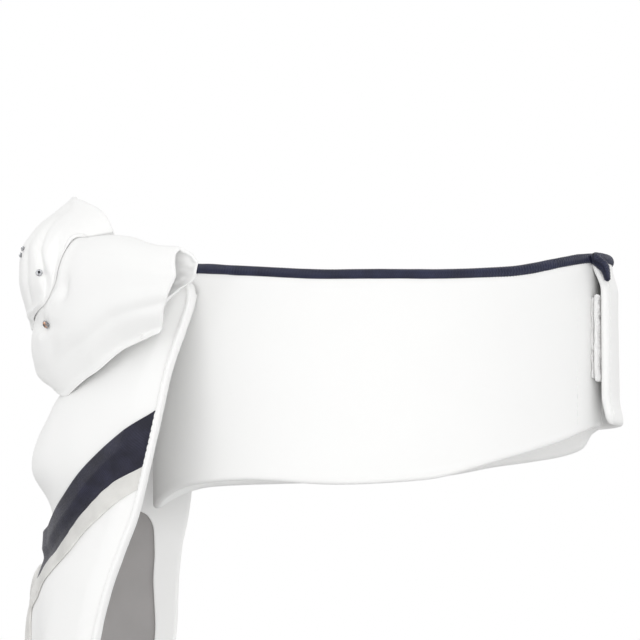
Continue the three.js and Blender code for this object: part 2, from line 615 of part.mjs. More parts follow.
// A cut crystal with a flat back, a girdle and a table, on a seat that faces along its normal.
function buildCrystal(row) {
  const outline = CRYSTAL_PROFILE.map((point) => new THREE.Vector2(...point).multiplyScalar(row.radius));
  const geometry = new THREE.LatheGeometry(outline, CRYSTAL_FACETS);
  geometry.rotateX(Math.PI / 2);
  const seat = (a, b) => {
    if (row.on === "puff") return puffPoint(row.side + a, row.up + b, 0);
    return lobePoint(row.on === "left" ? 1 : -1, row.at + a, row.turn + 60 * b, 0);
  };
  const e = 0.02;
  const normal = seat(e, 0).sub(seat(-e, 0)).cross(seat(0, e).sub(seat(0, -e))).normalize();
  if (normal.y > 0) normal.negate();
  const mesh = new THREE.Mesh(geometry, row.name === "crystal_d" ? COPPER : CRYSTAL);
  mesh.name = row.name;
  mesh.position.copy(seat(0, 0)).addScaledVector(normal, row.on === "puff" ? SEAM : DIMPLE_SEAM);
  mesh.quaternion.setFromUnitVectors(UP, normal);
  group.add(mesh);
}

buildBand();
buildPiping();
buildTape("loop_tape", LOOP_TAPE);
buildTape("hook_tape", HOOK_TAPE);
buildBacking();
buildUpperPanel();
buildArm(1, "left");
buildArm(-1, "right");
buildBinding();
buildLobe(1, "left");
buildLobe(-1, "right");
buildPuff();
CRYSTALS.forEach(buildCrystal);

export default group;
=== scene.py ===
import functools
import math
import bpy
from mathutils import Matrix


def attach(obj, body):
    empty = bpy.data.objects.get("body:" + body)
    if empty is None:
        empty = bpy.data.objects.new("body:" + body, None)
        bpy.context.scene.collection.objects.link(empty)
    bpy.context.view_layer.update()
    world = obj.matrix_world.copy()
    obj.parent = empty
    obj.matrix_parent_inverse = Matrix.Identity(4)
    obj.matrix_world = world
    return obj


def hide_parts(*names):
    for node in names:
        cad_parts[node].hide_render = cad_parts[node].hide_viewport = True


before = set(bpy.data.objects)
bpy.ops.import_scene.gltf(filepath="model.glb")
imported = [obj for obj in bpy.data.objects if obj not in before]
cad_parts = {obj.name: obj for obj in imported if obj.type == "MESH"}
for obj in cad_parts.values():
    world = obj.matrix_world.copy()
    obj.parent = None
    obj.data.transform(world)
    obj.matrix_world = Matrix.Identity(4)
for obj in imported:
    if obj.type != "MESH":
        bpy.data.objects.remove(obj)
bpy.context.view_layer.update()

from types import SimpleNamespace as Sizes

import bpy
import numpy as np
from mathutils import Vector
from mathutils.bvhtree import BVHTree

bl_info = {
    "name": "Ready-tied stock cravat",
    "version": (1, 0, 0),
    "blender": (4, 5, 0),
    "location": "View3D > Sidebar > Stock",
    "description": "Dresses a stock cravat: collar band, knot with crystals, and a bib with a V band",
    "category": "Add Mesh",
}

# Tables are in millimetres and degrees, in the part's frame: front -Y, the wearer's left +X, up +Z.
MM = 0.001
BODY = "root"
SIDES = ((1, "left"), (-1, "right"))

# Any large numbers that don't divide each other make a good hash for the noise.
HASH_STEPS = np.array([12.9898, 78.233, 37.719])
HASH_SEED = 4.1414
HASH_SPREAD = 43758.5453


def curve(x, y):
    """A smooth curve through points in order. It never overshoots them, and runs on straight past them."""
    rise = np.diff(y) / np.diff(x)
    before, after = rise[:-1], rise[1:]
    product = before * after
    both = np.where(product > 0, before + after, 1)
    slope = np.concatenate([rise[:1], np.where(product > 0, 2 * product / both, 0), rise[-1:]])

    def at(value):
        value = np.asarray(value, float)
        i = np.clip(np.searchsorted(x, value, side="right") - 1, 0, len(x) - 2)
        span = x[i + 1] - x[i]
        t = np.clip((value - x[i]) / span, 0, 1)
        start = (1 + 2 * t) * (1 - t) ** 2 * y[i] + t * (1 - t) ** 2 * span * slope[i]
        end = t * t * (3 - 2 * t) * y[i + 1] - t * t * (1 - t) * span * slope[i + 1]
        past = np.where(value < x[0], slope[0] * (value - x[0]), 0)
        past = past + np.where(value > x[-1], slope[-1] * (value - x[-1]), 0)
        return start + end + past

    return at


def table(names, *rows):
    """Smooth curves through a table's named columns, by its first column."""
    keys = names.split()
    values = np.array(rows, float)
    columns = {key: curve(values[:, 0], values[:, i + 1]) for i, key in enumerate(keys[1:])}
    return Sizes(**columns)


def rows(names, *values):
    """A list of records with named fields."""
    keys = names.split()
    return [Sizes(**dict(zip(keys, row))) for row in values]


def lerp(a, b, t):
    return a + (b - a) * t


def smoothstep(x, low, high):
    t = np.clip((np.asarray(x, float) - low) / (high - low), 0, 1)
    return t * t * (3 - 2 * t)


def bell(x, middle, width):
    return np.exp(-(((x - middle) / width) ** 2))


def unit(v):
    return v / np.maximum(np.linalg.norm(v, axis=-1, keepdims=True), 1e-12)


def in_row(start, end, count):
    return np.linspace(start, end, count)[None, :]


def in_column(start, end, count):
    return np.linspace(start, end, count)[:, None]


def points_at(*coordinates):
    """Points from their coordinates, each a number or a grid."""
    return np.stack(np.broadcast_arrays(*coordinates), axis=-1)


def lengths(path):
    """How far along a path each of its points lies."""
    return np.concatenate([[0], np.cumsum(np.linalg.norm(np.diff(path, axis=0), axis=1))])


def lumps(points, size, seed):
    """Smooth noise from -1 to 1 at points in millimetres, with lumps of about this size."""
    p = np.asarray(points, float) / size
    cell = np.floor(p)
    t = smoothstep(p - cell, 0, 1)
    total = 0
    for corner in np.ndindex(2, 2, 2):
        hashed = np.sin((cell + corner) @ HASH_STEPS + HASH_SEED * seed) * HASH_SPREAD
        value = 2 * (hashed - np.floor(hashed)) - 1
        total = total + value * np.prod(np.where(corner, t, 1 - t), axis=-1)
    return total


def rumple(points, *layers):
    """Smooth noise in layers, each a height, a size and a seed."""
    return sum(height * lumps(points, size, seed) for height, size, seed in layers)


# The collar band: an oval round the neck whose tab laps over its under end at the back.
NECK_HALF_WIDTH = 54
NECK_HALF_DEPTH = 68.5
UNDER_END = 195
TAB_END = -204
BAND = table(
    "turn top bottom out",
    (-207, 14.9, -32.4, 5.2),
    (-195, 15.2, -32.6, 4.2),
    (-180, 15.4, -32.7, 3.4),
    (-162, 15.4, -32.8, 3.2),
    (-157, 15.2, -34.4, 2.8),
    (-153, 14.9, -38.6, 2.3),
    (-145, 13.2, -40.8, 1.2),
    (-135, 11.2, -42.2, 0),
    (-123, 9.3, -43.6, 0),
    (-106, 7.7, -46.6, 0),
    (-80, 7.4, -48.2, 0),
    (-39, 10.4, -50, 0),
    (0, 12.6, -57, 0),
    (39, 10.8, -50.1, 0),
    (56, 9.2, -49.2, 0),
    (80, 7.5, -50.6, 0),
    (100, 7.5, -49.4, 0),
    (122, 8.7, -43.3, 0),
    (143, 12.7, -37.3, 0),
    (152, 14.2, -34.8, 0),
    (165, 15.2, -32.9, -1.2),
    (180, 15.4, -32.7, -1.9),
    (195, 15.4, -32.6, -1.9),
)

# How many points the pieces' grids have, along and across.
GRIDS = Sizes(
    band=(440, 48), tape=(90, 75), backing=(90, 120), facing=(20, 240), panel=(170, 120), navy=(130, 36),
    wrap=(95, 130), trim=12, lobe=(130, 192), puff=(240, 150),
)

# The worn cloth's ripples and pulls: each layer's height, size and seed.
BAND_DEGREE = 0.9
BAND_RIPPLES = ((0.3, 34, 1), (0.1, 12, 2))
ARM_PULLS = ((0.3, 16, 21), (0.16, 7, 22))
LOBE_PULLS = ((0.2, 8, 51), (0.05, 3.5, 52))
PUFF_PULLS = ((0.18, 8, 61), (0.05, 3.5, 62))

# The cord on the band's top edge. At the tab's end it turns down on its face: degrees past, and the drop.
PIPING_RISE = 1.75
PIPING_LEVEL = 15.5
PIPING_STEPS = 1400
PIPING_SIDES = 18
PIPING_RIBS = Sizes(pitch=0.95, depth=0.045, slant=1.6)
PIPING_END = rows("past drop", (0.3, 0.3), (0.1, 1.5), (0.3, 3), (0.8, 4.8), (1.4, 7.2))
PIPING_END_STEPS = 36
PIPING_END_TAPER = 22
PIPING_END_OUT = 2.1
PIPING_TIPS = Sizes(start=(0.35, 0.75, 0.95), end=(0.4, 0.2))
PIPING_UNEVEN = (0.04, 4, 3)

# The tab's top edge is drawn in towards the neck, and its lower end stands off it.
TAB_PINCH = table(
    "turn by",
    (-207, 3.1), (-195, 2.4), (-180, 1.7), (-166, 1.4), (-157, 0.4), (-150, 0), (195, 0),
)
TAB_PINCH_LEVELS = (7, 16)
TAB_FLARE = Sizes(by=1.5, start=-165, full=-195, high=-24, low=-33)
TAB_CORNER = 3.4

# The closure's tapes, measured outwards from the band's outer face.
LOOP_TAPE = Sizes(start=155.6, end=192, inner=0.12, outer=0.85, low=-18.5, high=4.6)
HOOK_TAPE = Sizes(start=155.3, end=190, inner=1.15, outer=2.5, low=-19.2, high=5.2)
TAPES = rows("node tape nap seed", ("loop_tape", LOOP_TAPE, 1.2, 71), ("hook_tape", HOOK_TAPE, 0.4, 81))
TAPE_MATS = Sizes(coarse=(0.2, 1.1), fine=(0.12, 0.55), edge=(0.35, 1.6), over=1.2)
FIBRES = 2400
FIBRE = Sizes(half_width=0.06, tip=0.6, root=0.1, short=0.4, lean=0.7, bend_at=0.6, bend=0.3)
FIBRE_MARGINS = (-0.2, -0.3)

# The threads: their sides, the share of a stitch that is left open, and the rows' distances and radii.
THREAD_SIDES = 6
STITCH_GAP = 0.28
BAND_STITCH = Sizes(pitch=2.4, thread=0.11, out=0.05, steps=60, tape_turn=147.6, tab_inset=2.4)
BAND_STITCH_ENDS = rows("turn low high", (148, 2.5, 1.5), (TAB_END, 2.2, 5))
HEM_STITCH = Sizes(pitch=1.9, thread=0.11, inset=0.45, share=0.95)

# The bib's inner face by level: how far the arc reaches to the front, its half width, how far back its
# two edges lie, and the degrees that half the arc turns through.
BIB = table(
    "z front half left right turn",
    (-152, -97, 40, -87, -72, 60),
    (-120, -100, 44, -83.6, -69, 64),
    (-92, -100.6, 46.5, -79.2, -64.4, 67),
    (-81, -99.5, 47.5, -76.4, -64.2, 68),
    (-69, -96.2, 48, -72.2, -63.2, 68),
    (-59, -95.8, 48, -68.5, -61.2, 68),
    (-44, -96.4, 47, -65, -59.4, 68),
    (-29, -94.9, 45, -61.8, -58, 65),
    (-19, -89.3, 43, -59.8, -55.8, 60),
    (-5, -76, 39.6, -55.5, -53.2, 50),
    (2, -70.4, 37.2, -53.5, -51.9, 43.6),
    (9, -68.8, 36.3, -52.6, -51.2, 41.9),
)

# The bib's outline, the hem round it, and how the layers are pressed down beside the hem.
BIB_TOP = 8
BIB_CORNER_DROP = 2.5
BIB_CORNER_POWER = 8
BIB_BOTTOM = -150
BIB_SIDE_RISE = 34
BIB_SIDE_POWER = 2.2
BIB_ARC = 52
CLOTH_SIDE = 0.98
HEM_SIDE = 0.99
HEM_MIDDLE = 1.5
HEM_HALF_HEIGHT = 1.5
HEM_CLEAR = 1.6
HEM_CORNER = ((0.78, 1.8), (0.86, 1.9), (0.93, 2), (0.984, 0.9))
HEM_STEPS = 900
HEM_SOFTENING = 60
HEM_PUCKERS = ((0.03, 1.4, 41), (0.03, 4, 42))
HEM_SECTION = Sizes(sides=20, power=0.75)
PRESSED = Sizes(by=0.45, start=0.84)

# Long soft folds that run down the lower half of the bib.
BIB_FOLDS = rows(
    "side width height start",
    (-0.72, 0.16, 1.6, -62),
    (-0.34, 0.13, -1.1, -78),
    (0.22, 0.14, -1.0, -84),
    (0.6, 0.15, 1.3, -72),
)
BIB_FOLD_EASE = 30

# The V's lines by side (0 centre, 1 the bib's edge): the navy band's edges and the trim's lower edge.
VEE = table(
    "side navy_top navy_bottom trim_bottom",
    (0, -65, -83.5, -88.5),
    (0.12, -63.6, -80, -85.4),
    (0.25, -61, -75.6, -81.3),
    (0.35, -58, -72.2, -77.9),
    (0.5, -53.2, -67.3, -72.9),
    (0.7, -43.8, -57.7, -63.1),
    (0.85, -36, -50.7, -56.2),
    (1, -28.6, -45, -50.4),
)

# How far below the V's lines the layers' own edges lie, and the heights of their inner and outer faces.
EDGES_BELOW = Sizes(panel=3, navy=0.8, wrap=1.1)
BACKING = Sizes(inner=0, outer=1.2)
PANEL = Sizes(inner=1.3, outer=2.6)
WRAP = Sizes(inner=1.7, outer=2.9)
TRIM = Sizes(inner=2.95, outer=3.75)

# The layers' soft forms: the panel's puff and pulls, the step over its edge, and the lift at the crossing.
PANEL_PUFF = Sizes(height=6, level=-44.5, above=15, below=8.5, half=0.42)
PANEL_PULL = Sizes(slant=34, across=30, along=0.35, long=(0.5, 9, 11), short=(0.22, 7, 12))
PANEL_PULL_FADE = Sizes(levels=(-60, -40), sides=(0.75, 0.95))
ARM_PULL_FADE = Sizes(edge=(0.8, 0.95), centre=(0.12, 0.4))
STEP_OVER_PANEL = Sizes(by=1.35, low=9.5, high=5)
CROSSING = Sizes(lift=1.5, start=0.03, end=0.2, past=0.079)

# The silver ribbons: their width and relief, and the way that the left one turns down (side, level).
TRIM_WIDTH = 4.9
TRIM_SWELL = Sizes(height=4.6, side=-0.17, width=0.1)
TRIM_TURN = [(0.02, -86), (-0.025, -90), (-0.052, -96), (-0.06, -106), (-0.06, -127), (-0.06, -149)]
TRIM_RIGHT_END = 0.1
TRIM_KNOTS = 12
TRIM_STEPS = (220, 130)
TRIM_PLUMB = 6
TRIM_CROWN = 0.25
TRIM_PUCKER = (0.12, 2.2, 31)

# The white facing inside the bib's edges: the side that it reaches in to at each level. It is whole above.
FACING = table(
    "z side",
    (-150, 0.91),
    (-97, 0.9),
    (-75, 0.865),
    (-64, 0.83),
    (-59, 0.78),
    (-56.5, 0.66),
    (-55, 0.4),
    (-53.8, 0.15),
    (-52.5, 0.004),
    (8, 0.004),
)
FACING_DEPTH = Sizes(inner=-0.75, outer=-0.1)
FACING_ENDS = Sizes(inset=3, side=0.9)
FACING_LIFT = (0.15, 9, 5)

# The knot's loops, from the front centre to the open mouth: the middle of the section, how far it
# reaches up, down, outwards and inwards, and the depth of the crease above its lip.
LOBE = table(
    "at x y z up down out inward crease",
    (0, 0.06, -98.2, -8.5, 12, 9.5, 5.4, 2.5, 0),
    (0.05, 3.4, -98, -8.4, 16, 12, 7.7, 3.5, 0),
    (0.14, 9.5, -97, -7.5, 19, 14.8, 8.4, 5, 0.2),
    (0.3, 19.5, -92.5, -3, 22.6, 19.8, 8.5, 7.2, 0.7),
    (0.5, 30, -84, 2.5, 19.9, 19.2, 9, 7, 1),
    (0.72, 39.5, -72.5, 5.5, 15.9, 14.6, 8, 5.2, 1),
    (0.9, 46.5, -63.5, 6.3, 11.7, 13.4, 5.5, 3, 1),
    (1, 49.5, -58.8, 6.3, 11.2, 12.4, 4, 1.8, 0.8),
)

# The mouth's rim, by how far down the section a point lies (-1 the top, 1 the bottom): how far its near and
# its far side reach past the last station. Below the middle the far side closes on the near one.
MOUTH_START = 0.7
MOUTH = table(
    "down near far",
    (-1, 1.8, 1.8),
    (-0.88, 1.2, 4.4),
    (-0.77, 1.4, 6.1),
    (-0.6, 1.8, 7),
    (-0.3, 2.4, 6.4),
    (-0.12, 1.7, 4.8),
    (0, 0.95, 2.2),
    (0.18, -0.2, -0.8),
    (0.54, -3, -4.2),
    (0.8, -4.4, -4.9),
    (1, -6, -6),
)
MOUTH_CLOSED = Sizes(gap=2.9, start=-0.1, end=0.5)
MOUTH_SIDES = (-0.35, 0.35)
LOBE_LIP = Sizes(above=7.4, most=0.6, width=9, edge_turn=-83, edge_width=8, edge=1.3, tuck=-1.4, soft=0.3)
LOBE_GATHER = Sizes(start=0.05, end=0.42, by=0.5, pleats=(0.7, 4.2, 57), soft=(0.4, 7, 58))
LOBE_DIMPLES = rows(
    "at turn depth along round",
    (0.295, 1, 1.5, 0.035, 9),
    (0.447, 16, 1.9, 0.036, 10),
    (0.35, -24, 0.6, 0.05, 12),
)
LOBE_PULL = Sizes(at=0.28, turn=1, slope=-105, width=6, reach=0.11, depth=1.3)
LOBE_RIDGE = Sizes(at=0.425, root=0.27, bend=(-4, 22), start=(-20, 0), end=(70, 100), width=0.03, height=1.0)
RIGHT_LOBE_RAISE = Sizes(by=3, over=0.4)
LOBE_CRUMPLE = Sizes(layer=(0.55, 3.2, 53), stretch=(1, 1, 2.2), over=0.16, sides=(-0.2, 0.6))
LOBE_INNER_START = 0.03
LOBE_SPACING = 1.05
LOBE_RIM = 6

# The gathered centre, bent round the front of the knot: its level, how far it reaches forwards, its half
# width, how far back its edges come, and its sideways lean.
PUFF = table(
    "up z front left_half right_half left_back right_back left_level right_level lean",
    (0, -1.5, -105.2, 13, 13, -103, -103.2, -0.5, -0.3, 0),
    (0.15, 4, -107.6, 25, 24, -97.4, -98.4, 3.3, 4, 0),
    (0.35, 12, -109.5, 30, 29, -95, -96, 9, 10.4, 0),
    (0.55, 19.5, -109.1, 31, 30, -93.8, -94.6, 14.5, 17, -0.5),
    (0.72, 26, -104.6, 29.5, 29, -91, -91.6, 19.8, 22.6, -1),
    (0.87, 31, -98.6, 27, 27, -86, -88.5, 23.5, 26.7, -1.5),
    (1, 35.2, -95.2, 25.5, 26, -79.9, -85.6, 24.9, 28.6, -2),
)
PUFF_TIP = Sizes(side=-0.25, width=0.6, rise=3)
PUFF_ROOT = Sizes(drop=1.5, over=0.3)
PUFF_EDGE_POWER = 3.6
PUFF_CURL = Sizes(start=0.8, back=1.2, ripple=0.9, waves=3.2)
PUFF_EDGE = Sizes(thin=0.85, gap=0.12, root=0.09, start=0.1, full=0.35)
PUFF_FOLDS = rows(
    "side width depth low high lean",
    (-0.9, 0.032, 1.3, 0.3, 0.68, 0.35),
    (-0.74, 0.05, 1.9, 0.16, 0.76, 0.6),
    (-0.5, 0.07, 1.3, 0.1, 0.55, 0.3),
    (-0.26, 0.05, 1.0, 0.3, 0.95, -0.08),
    (-0.04, 0.06, 1.4, 0.05, 0.5, -0.05),
    (0.2, 0.05, 1.1, 0.08, 0.6, 0.1),
    (0.47, 0.055, 1.2, 0.1, 0.62, -0.25),
    (0.733, 0.045, 2.0, 0.2, 0.78, -0.667),
    (0.908, 0.03, 1.5, 0.25, 0.68, -0.38),
)
PUFF_TUCK = Sizes(side=0.4, up=0.9, depth=2.0, across=0.15, rise=0.06)
PUFF_FOLD_EASE = Sizes(low=0.12, high=0.15)
PUFF_PUCKER = Sizes(height=0.12, around=18, along=5, size=1.7, seed=63, fade=(0.05, 0.35))
PUFF_HELD = Sizes(sides=(0.8, 1), ups=(0.62, 0.8))
KNOT_GAP = 0.35
KNOT_HEART = (0, -88, 4)

# Cut crystals: where each is pinned on the gathered centre (side, up) or a loop (station, turn).
CRYSTALS = rows(
    "node on a b radius",
    ("crystal_a", "centre", 0.37, 0.565, 0.8),
    ("crystal_b", "centre", 0.34, 0.515, 0.8),
    ("crystal_c", "centre", 0.745, 0.38, 1.1),
    ("crystal_d", "left", 0.295, 1, 1.3),
    ("crystal_e", "centre", -0.725, 0.38, 1.1),
    ("crystal_f", "right", 0.295, 1, 1.3),
)
CRYSTAL_FACETS = 8

# A crystal's rings from its table down to its foil cup, by its radius, and its materials: a painted glint, a
# painted dark reflection on the table, and the foil cup's grey, which also paints some crown facets as
# shade.
CRYSTAL_RINGS = ((0.42, 0.95, 0), (0.74, 0.78, 0.5), (1, 0.5, 0), (1, 0.38, 0), (0.75, 0.02, 0))
CRYSTAL_PAINTED_GLINT, CRYSTAL_PAINTED_DARK, CRYSTAL_CUP_AND_SHADE = range(3)

# The photograph's camera, in metres, and its lens.
CAMERA = Sizes(place=(0.8975, 0.0053, -0.0628), target=(0, -0.0182, 0), lens=167.06, sensor=36)

# The floor, and the soft lamps: places and sizes in metres, and their shares of the key light.
FLOOR = Sizes(level=-200, radius=6000, corners=96)
LAMP_TARGET = (0, -0.05, -0.03)
LAMPS = rows(
    "name place size share",
    ("key", (1.25, 0.14, 0), 0.35, 1),
    ("fill", (0.8, -1, 0), 0.6, 0.25),
    ("front", (-0.6, -1, 0.7), 0.7, 0.5),
    ("back", (-0.6, 1.1, 0.5), 0.7, 0.55),
)


def new_object(name, points, faces, uv=None):
    """A smooth mesh object from points in millimetres, turned so that its faces point out."""
    points = np.asarray(points, float).reshape(-1, 3)
    mesh = bpy.data.meshes.new(name)
    mesh.from_pydata((points * MM).tolist(), [], [tuple(face) for face in faces])
    mesh.validate()
    obj = bpy.data.objects.new(name, mesh)
    bpy.context.scene.collection.objects.link(obj)
    if uv is not None:
        layer = mesh.uv_layers.new(name="cloth")
        corners = np.empty(len(mesh.loops), np.int32)
        mesh.loops.foreach_get("vertex_index", corners)
        layer.data.foreach_set("uv", (np.asarray(uv, float)[corners] * MM).ravel())
    mesh.shade_smooth()
    mesh.calc_loop_triangles()
    ends = np.empty(3 * len(mesh.loop_triangles), np.int32)
    mesh.loop_triangles.foreach_get("vertices", ends)
    a, b, c = points[ends.reshape(-1, 3)].transpose(1, 0, 2)
    if (a * np.cross(b, c)).sum() < 0:
        mesh.flip_normals()
    return obj


def cloth_uv(grid):
    """Cloth coordinates of a grid of points, in millimetres along its rows and columns."""
    across = np.linalg.norm(np.diff(grid, axis=1), axis=2).mean(axis=0)
    along = np.linalg.norm(np.diff(grid, axis=0), axis=2).mean(axis=1)
    u = np.concatenate([[0], np.cumsum(across)])
    v = np.concatenate([[0], np.cumsum(along)])
    return np.stack(np.meshgrid(u, v), axis=-1)


def grid_faces(first, height, width, closed=False):
    """The quads of a grid of vertices that starts at an index."""
    last = width if closed else width - 1
    found = []
    for r in range(height - 1):
        for c in range(last):
            a = first + r * width + c
            b = first + r * width + (c + 1) % width
            found.append((a, b, b + width, a + width))
    return found


def sheet(name, front, back, rim=5):
    """A closed sheet between two grids of points (rows, columns), with a rounded rim."""
    height, width = front.shape[:2]
    count = height * width
    uv = cloth_uv(front).reshape(-1, 2)
    points = [front.reshape(-1, 3), back.reshape(-1, 3)]
    faces = grid_faces(0, height, width) + [face[::-1] for face in grid_faces(count, height, width)]
    edge = [(0, c) for c in range(width - 1)] + [(r, width - 1) for r in range(height - 1)]
    edge += [(height - 1, c) for c in range(width - 1, 0, -1)] + [(r, 0) for r in range(height - 1, 0, -1)]
    at = np.array(edge)
    inside = np.clip(at, [1, 1], [height - 2, width - 2])
    middle = (front + back) / 2
    half = (front - back)[at[:, 0], at[:, 1]] / 2
    centre = middle[at[:, 0], at[:, 1]]
    out = unit(centre - middle[inside[:, 0], inside[:, 1]])
    out = unit(out - unit(half) * (out * unit(half)).sum(axis=1, keepdims=True))
    size = np.linalg.norm(half, axis=1, keepdims=True)
    index = at[:, 0] * width + at[:, 1]
    rings = [index]
    for k in range(1, rim):
        angle = math.pi * k / rim
        rings.append(2 * count + (k - 1) * len(edge) + np.arange(len(edge)))
        points.append(centre + half * math.cos(angle) + out * size * math.sin(angle))
    rings.append(count + index)
    for upper, lower in zip(rings, rings[1:]):
        faces += [tuple(q) for q in np.stack([upper, lower, np.roll(lower, -1), np.roll(upper, -1)], axis=1)]
    uvs = [uv, uv] + [uv[index]] * (rim - 1)
    return new_object(name, np.concatenate(points), faces, np.concatenate(uvs))


def tube(name, path, across, up, width, height, sides, taper=1.0, power=1.0, relief=0.0):
    """A closed tube along a path with an oval section: across and up are its directions at each point."""
    steps = len(path)
    turn = 2 * math.pi * (np.arange(sides) + 0.5) / sides
    cos = np.sign(np.cos(turn)) * np.abs(np.cos(turn)) ** power
    sin = np.sign(np.sin(turn)) * np.abs(np.sin(turn)) ** power
    sizes = width, height, taper
    width, height, taper = (np.ones((steps, 1)) * np.reshape(size, (-1, 1)) for size in sizes)
    wide = (width * cos)[..., None] * across[:, None, :]
    tall = (height * sin)[..., None] * up[:, None, :]
    ring = path[:, None, :] + (wide + tall) * (taper * (1 + relief) * np.ones(sides))[..., None]
    around = np.arange(sides) / sides * math.pi * (width.mean() + height.mean())
    faces = grid_faces(0, steps, sides, closed=True)
    faces += [tuple(range(sides)), tuple(range(steps * sides - 1, (steps - 1) * sides - 1, -1))]
    return new_object(name, ring, faces, points_at(lengths(path)[:, None], around[None, :]).reshape(-1, 2))


def laid_on(grid, carriers, clearance, held):
    """A grid of points moved off the surfaces below it, and drawn down to them where held."""
    points = grid.reshape(-1, 3).copy()
    clearance, held = (np.broadcast_to(value, grid.shape[:2]).ravel() for value in (clearance, held))
    for carrier in carriers:
        height, width = carrier.shape[:2]
        faces = grid_faces(0, height, width, closed=True)
        tree = BVHTree.FromPolygons(carrier.reshape(-1, 3).tolist(), faces)
        for i, point in enumerate(points):
            near, normal, _, _ = tree.find_nearest(Vector(point))
            gap = (Vector(point) - near).dot(normal)
            move = clearance[i] - gap
            if move < 0:
                move *= held[i] * float(1 - smoothstep(gap, 3, 8))
            points[i] += np.array(normal) * move
    return points.reshape(grid.shape)


def relaxed(grid, times):
    """A grid with its points drawn towards the middle of their neighbours along both ways."""
    grid = grid.copy()
    for _ in range(times):
        grid[1:-1] = (grid[:-2] + 2 * grid[1:-1] + grid[2:]) / 4
        grid[:, 1:-1] = (grid[:, :-2] + 2 * grid[:, 1:-1] + grid[:, 2:]) / 4
    return grid


def grid_normals(grid):
    along = np.gradient(grid, axis=0)
    across = np.gradient(grid, axis=1)
    return unit(np.cross(across, along))


def frames(path, toward):
    """Unit directions across a path and up from it, where toward gives roughly the up."""
    along = unit(np.gradient(path, axis=0))
    up = unit(toward - along * (toward * along).sum(axis=1, keepdims=True))
    return np.cross(along, up), up


def capsules(name, ends, radius):
    """Short round-ended threads, each between two points, as one mesh."""
    profile = ((0.0, 0.45), (0.18, 0.9), (0.5, 1.0), (0.82, 0.9), (1.0, 0.45))
    turn = 2 * math.pi * np.arange(THREAD_SIDES)[:, None] / THREAD_SIDES
    points, faces = [], []
    for start, end in ends:
        along = unit(end - start)
        side = unit(np.cross(along, [0.31, 0.52, 0.79]))
        other = np.cross(along, side)
        first = len(points) * THREAD_SIDES
        around = side * np.cos(turn) + other * np.sin(turn)
        for t, share in profile:
            points.append(lerp(start, end, t) + radius * share * around)
        last = len(points) * THREAD_SIDES - 1
        faces += grid_faces(first, len(profile), THREAD_SIDES, closed=True)
        faces += [tuple(range(first, first + THREAD_SIDES)), tuple(range(last, last - THREAD_SIDES, -1))]
    return new_object(name, np.concatenate(points), faces)


def stitches(name, sizes, *paths):
    """Rows of stitches, one along each path, as one mesh."""
    ends = []
    gap = STITCH_GAP * sizes.pitch / 2
    for path in paths:
        along = lengths(path)
        at = np.linspace(0, along[-1], max(1, int(along[-1] / sizes.pitch)) + 1)
        start, end = (
            np.stack([np.interp(s, along, path[:, k]) for k in range(3)], axis=-1)
            for s in (at[:-1] + gap, at[1:] - gap)
        )
        ends += list(zip(start, end))
    return capsules(name, ends, sizes.thread)


def place_piece(obj, material, slot, *nodes):
    """Gives a piece its material and its place on the part, and hides the solids that it stands for."""
    if not obj.data.materials:
        obj.data.materials.append(material)
    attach(obj, BODY)
    if nodes:
        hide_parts(*nodes)


# Materials.

class Shader:
    """A node material that is put together one node at a time."""

    def __init__(self, name):
        self.material = bpy.data.materials.new(name)
        self.material.use_nodes = True
        self.tree = self.material.node_tree
        self.surface = self.tree.nodes["Principled BSDF"]

    def plug(self, value, socket):
        """Sets a socket, or links another node's output to it."""
        if isinstance(value, bpy.types.NodeSocket):
            self.tree.links.new(value, socket)
        else:
            socket.default_value = value

    def add(self, kind, inputs=None, **settings):
        node = self.tree.nodes.new(kind)
        for key, value in settings.items():
            setattr(node, key, value)
        for key, value in (inputs or {}).items():
            self.plug(value, node.inputs[key])
        return node

    def set(self, **values):
        """Sets the surface's own sockets: underscores stand for spaces."""
        for key, value in values.items():
            self.plug(value, self.surface.inputs[key.replace("_", " ")])

    def math(self, operation, a, b):
        return self.add("ShaderNodeMath", {0: a, 1: b}, operation=operation).outputs[0]

    def cloth(self, across=1.0, turn=0.0):
        """Cloth coordinates in millimetres, stretched and turned."""
        uv = self.add("ShaderNodeTexCoord").outputs["UV"]
        settings = {"Vector": uv, "Rotation": (0, 0, turn), "Scale": (across / MM, 1 / MM, 1)}
        return self.add("ShaderNodeMapping", settings).outputs[0]

    def space(self):
        """The object's own coordinates in millimetres."""
        where = self.add("ShaderNodeTexCoord").outputs["Object"]
        return self.add("ShaderNodeMapping", {"Vector": where, "Scale": (1 / MM, 1 / MM, 1 / MM)}).outputs[0]

    def noise(self, where, size, detail=2.0, roughness=0.5):
        settings = {"Vector": where, "Scale": 1 / size, "Detail": detail, "Roughness": roughness}
        return self.add("ShaderNodeTexNoise", settings).outputs["Fac"]

    def lines(self, where, pitch, wobble):
        """Rounded ridges, one each pitch millimetres."""
        settings = {"Vector": where, "Scale": math.pi / 5 / pitch, "Distortion": wobble, "Detail": 1.0}
        node = self.add("ShaderNodeTexWave", settings, wave_type="BANDS", bands_direction="X")
        return node.outputs["Fac"]

    def mix(self, share, a, b):
        """A mix of two colours by a share."""
        return self.add("ShaderNodeMix", {0: share, 6: a, 7: b}, data_type="RGBA").outputs[2]

    def ramp(self, value, low, high, start, end):
        settings = {"Value": value, "From Min": low, "From Max": high, "To Min": start, "To Max": end}
        return self.add("ShaderNodeMapRange", settings).outputs[0]

    def bump(self, *heights):
        """Bump from heights in millimetres, each a (socket, depth) pair."""
        total = None
        for socket, depth in heights:
            part = self.math("MULTIPLY", socket, depth * MM)
            total = part if total is None else self.math("ADD", total, part)
        node = self.add("ShaderNodeBump", {"Height": total, "Strength": 1.0, "Distance": 1.0})
        self.set(Normal=node.outputs[0])


def rgba(colour):
    return (*colour, 1.0)


def shade(colour, share):
    return tuple(channel * share for channel in colour)


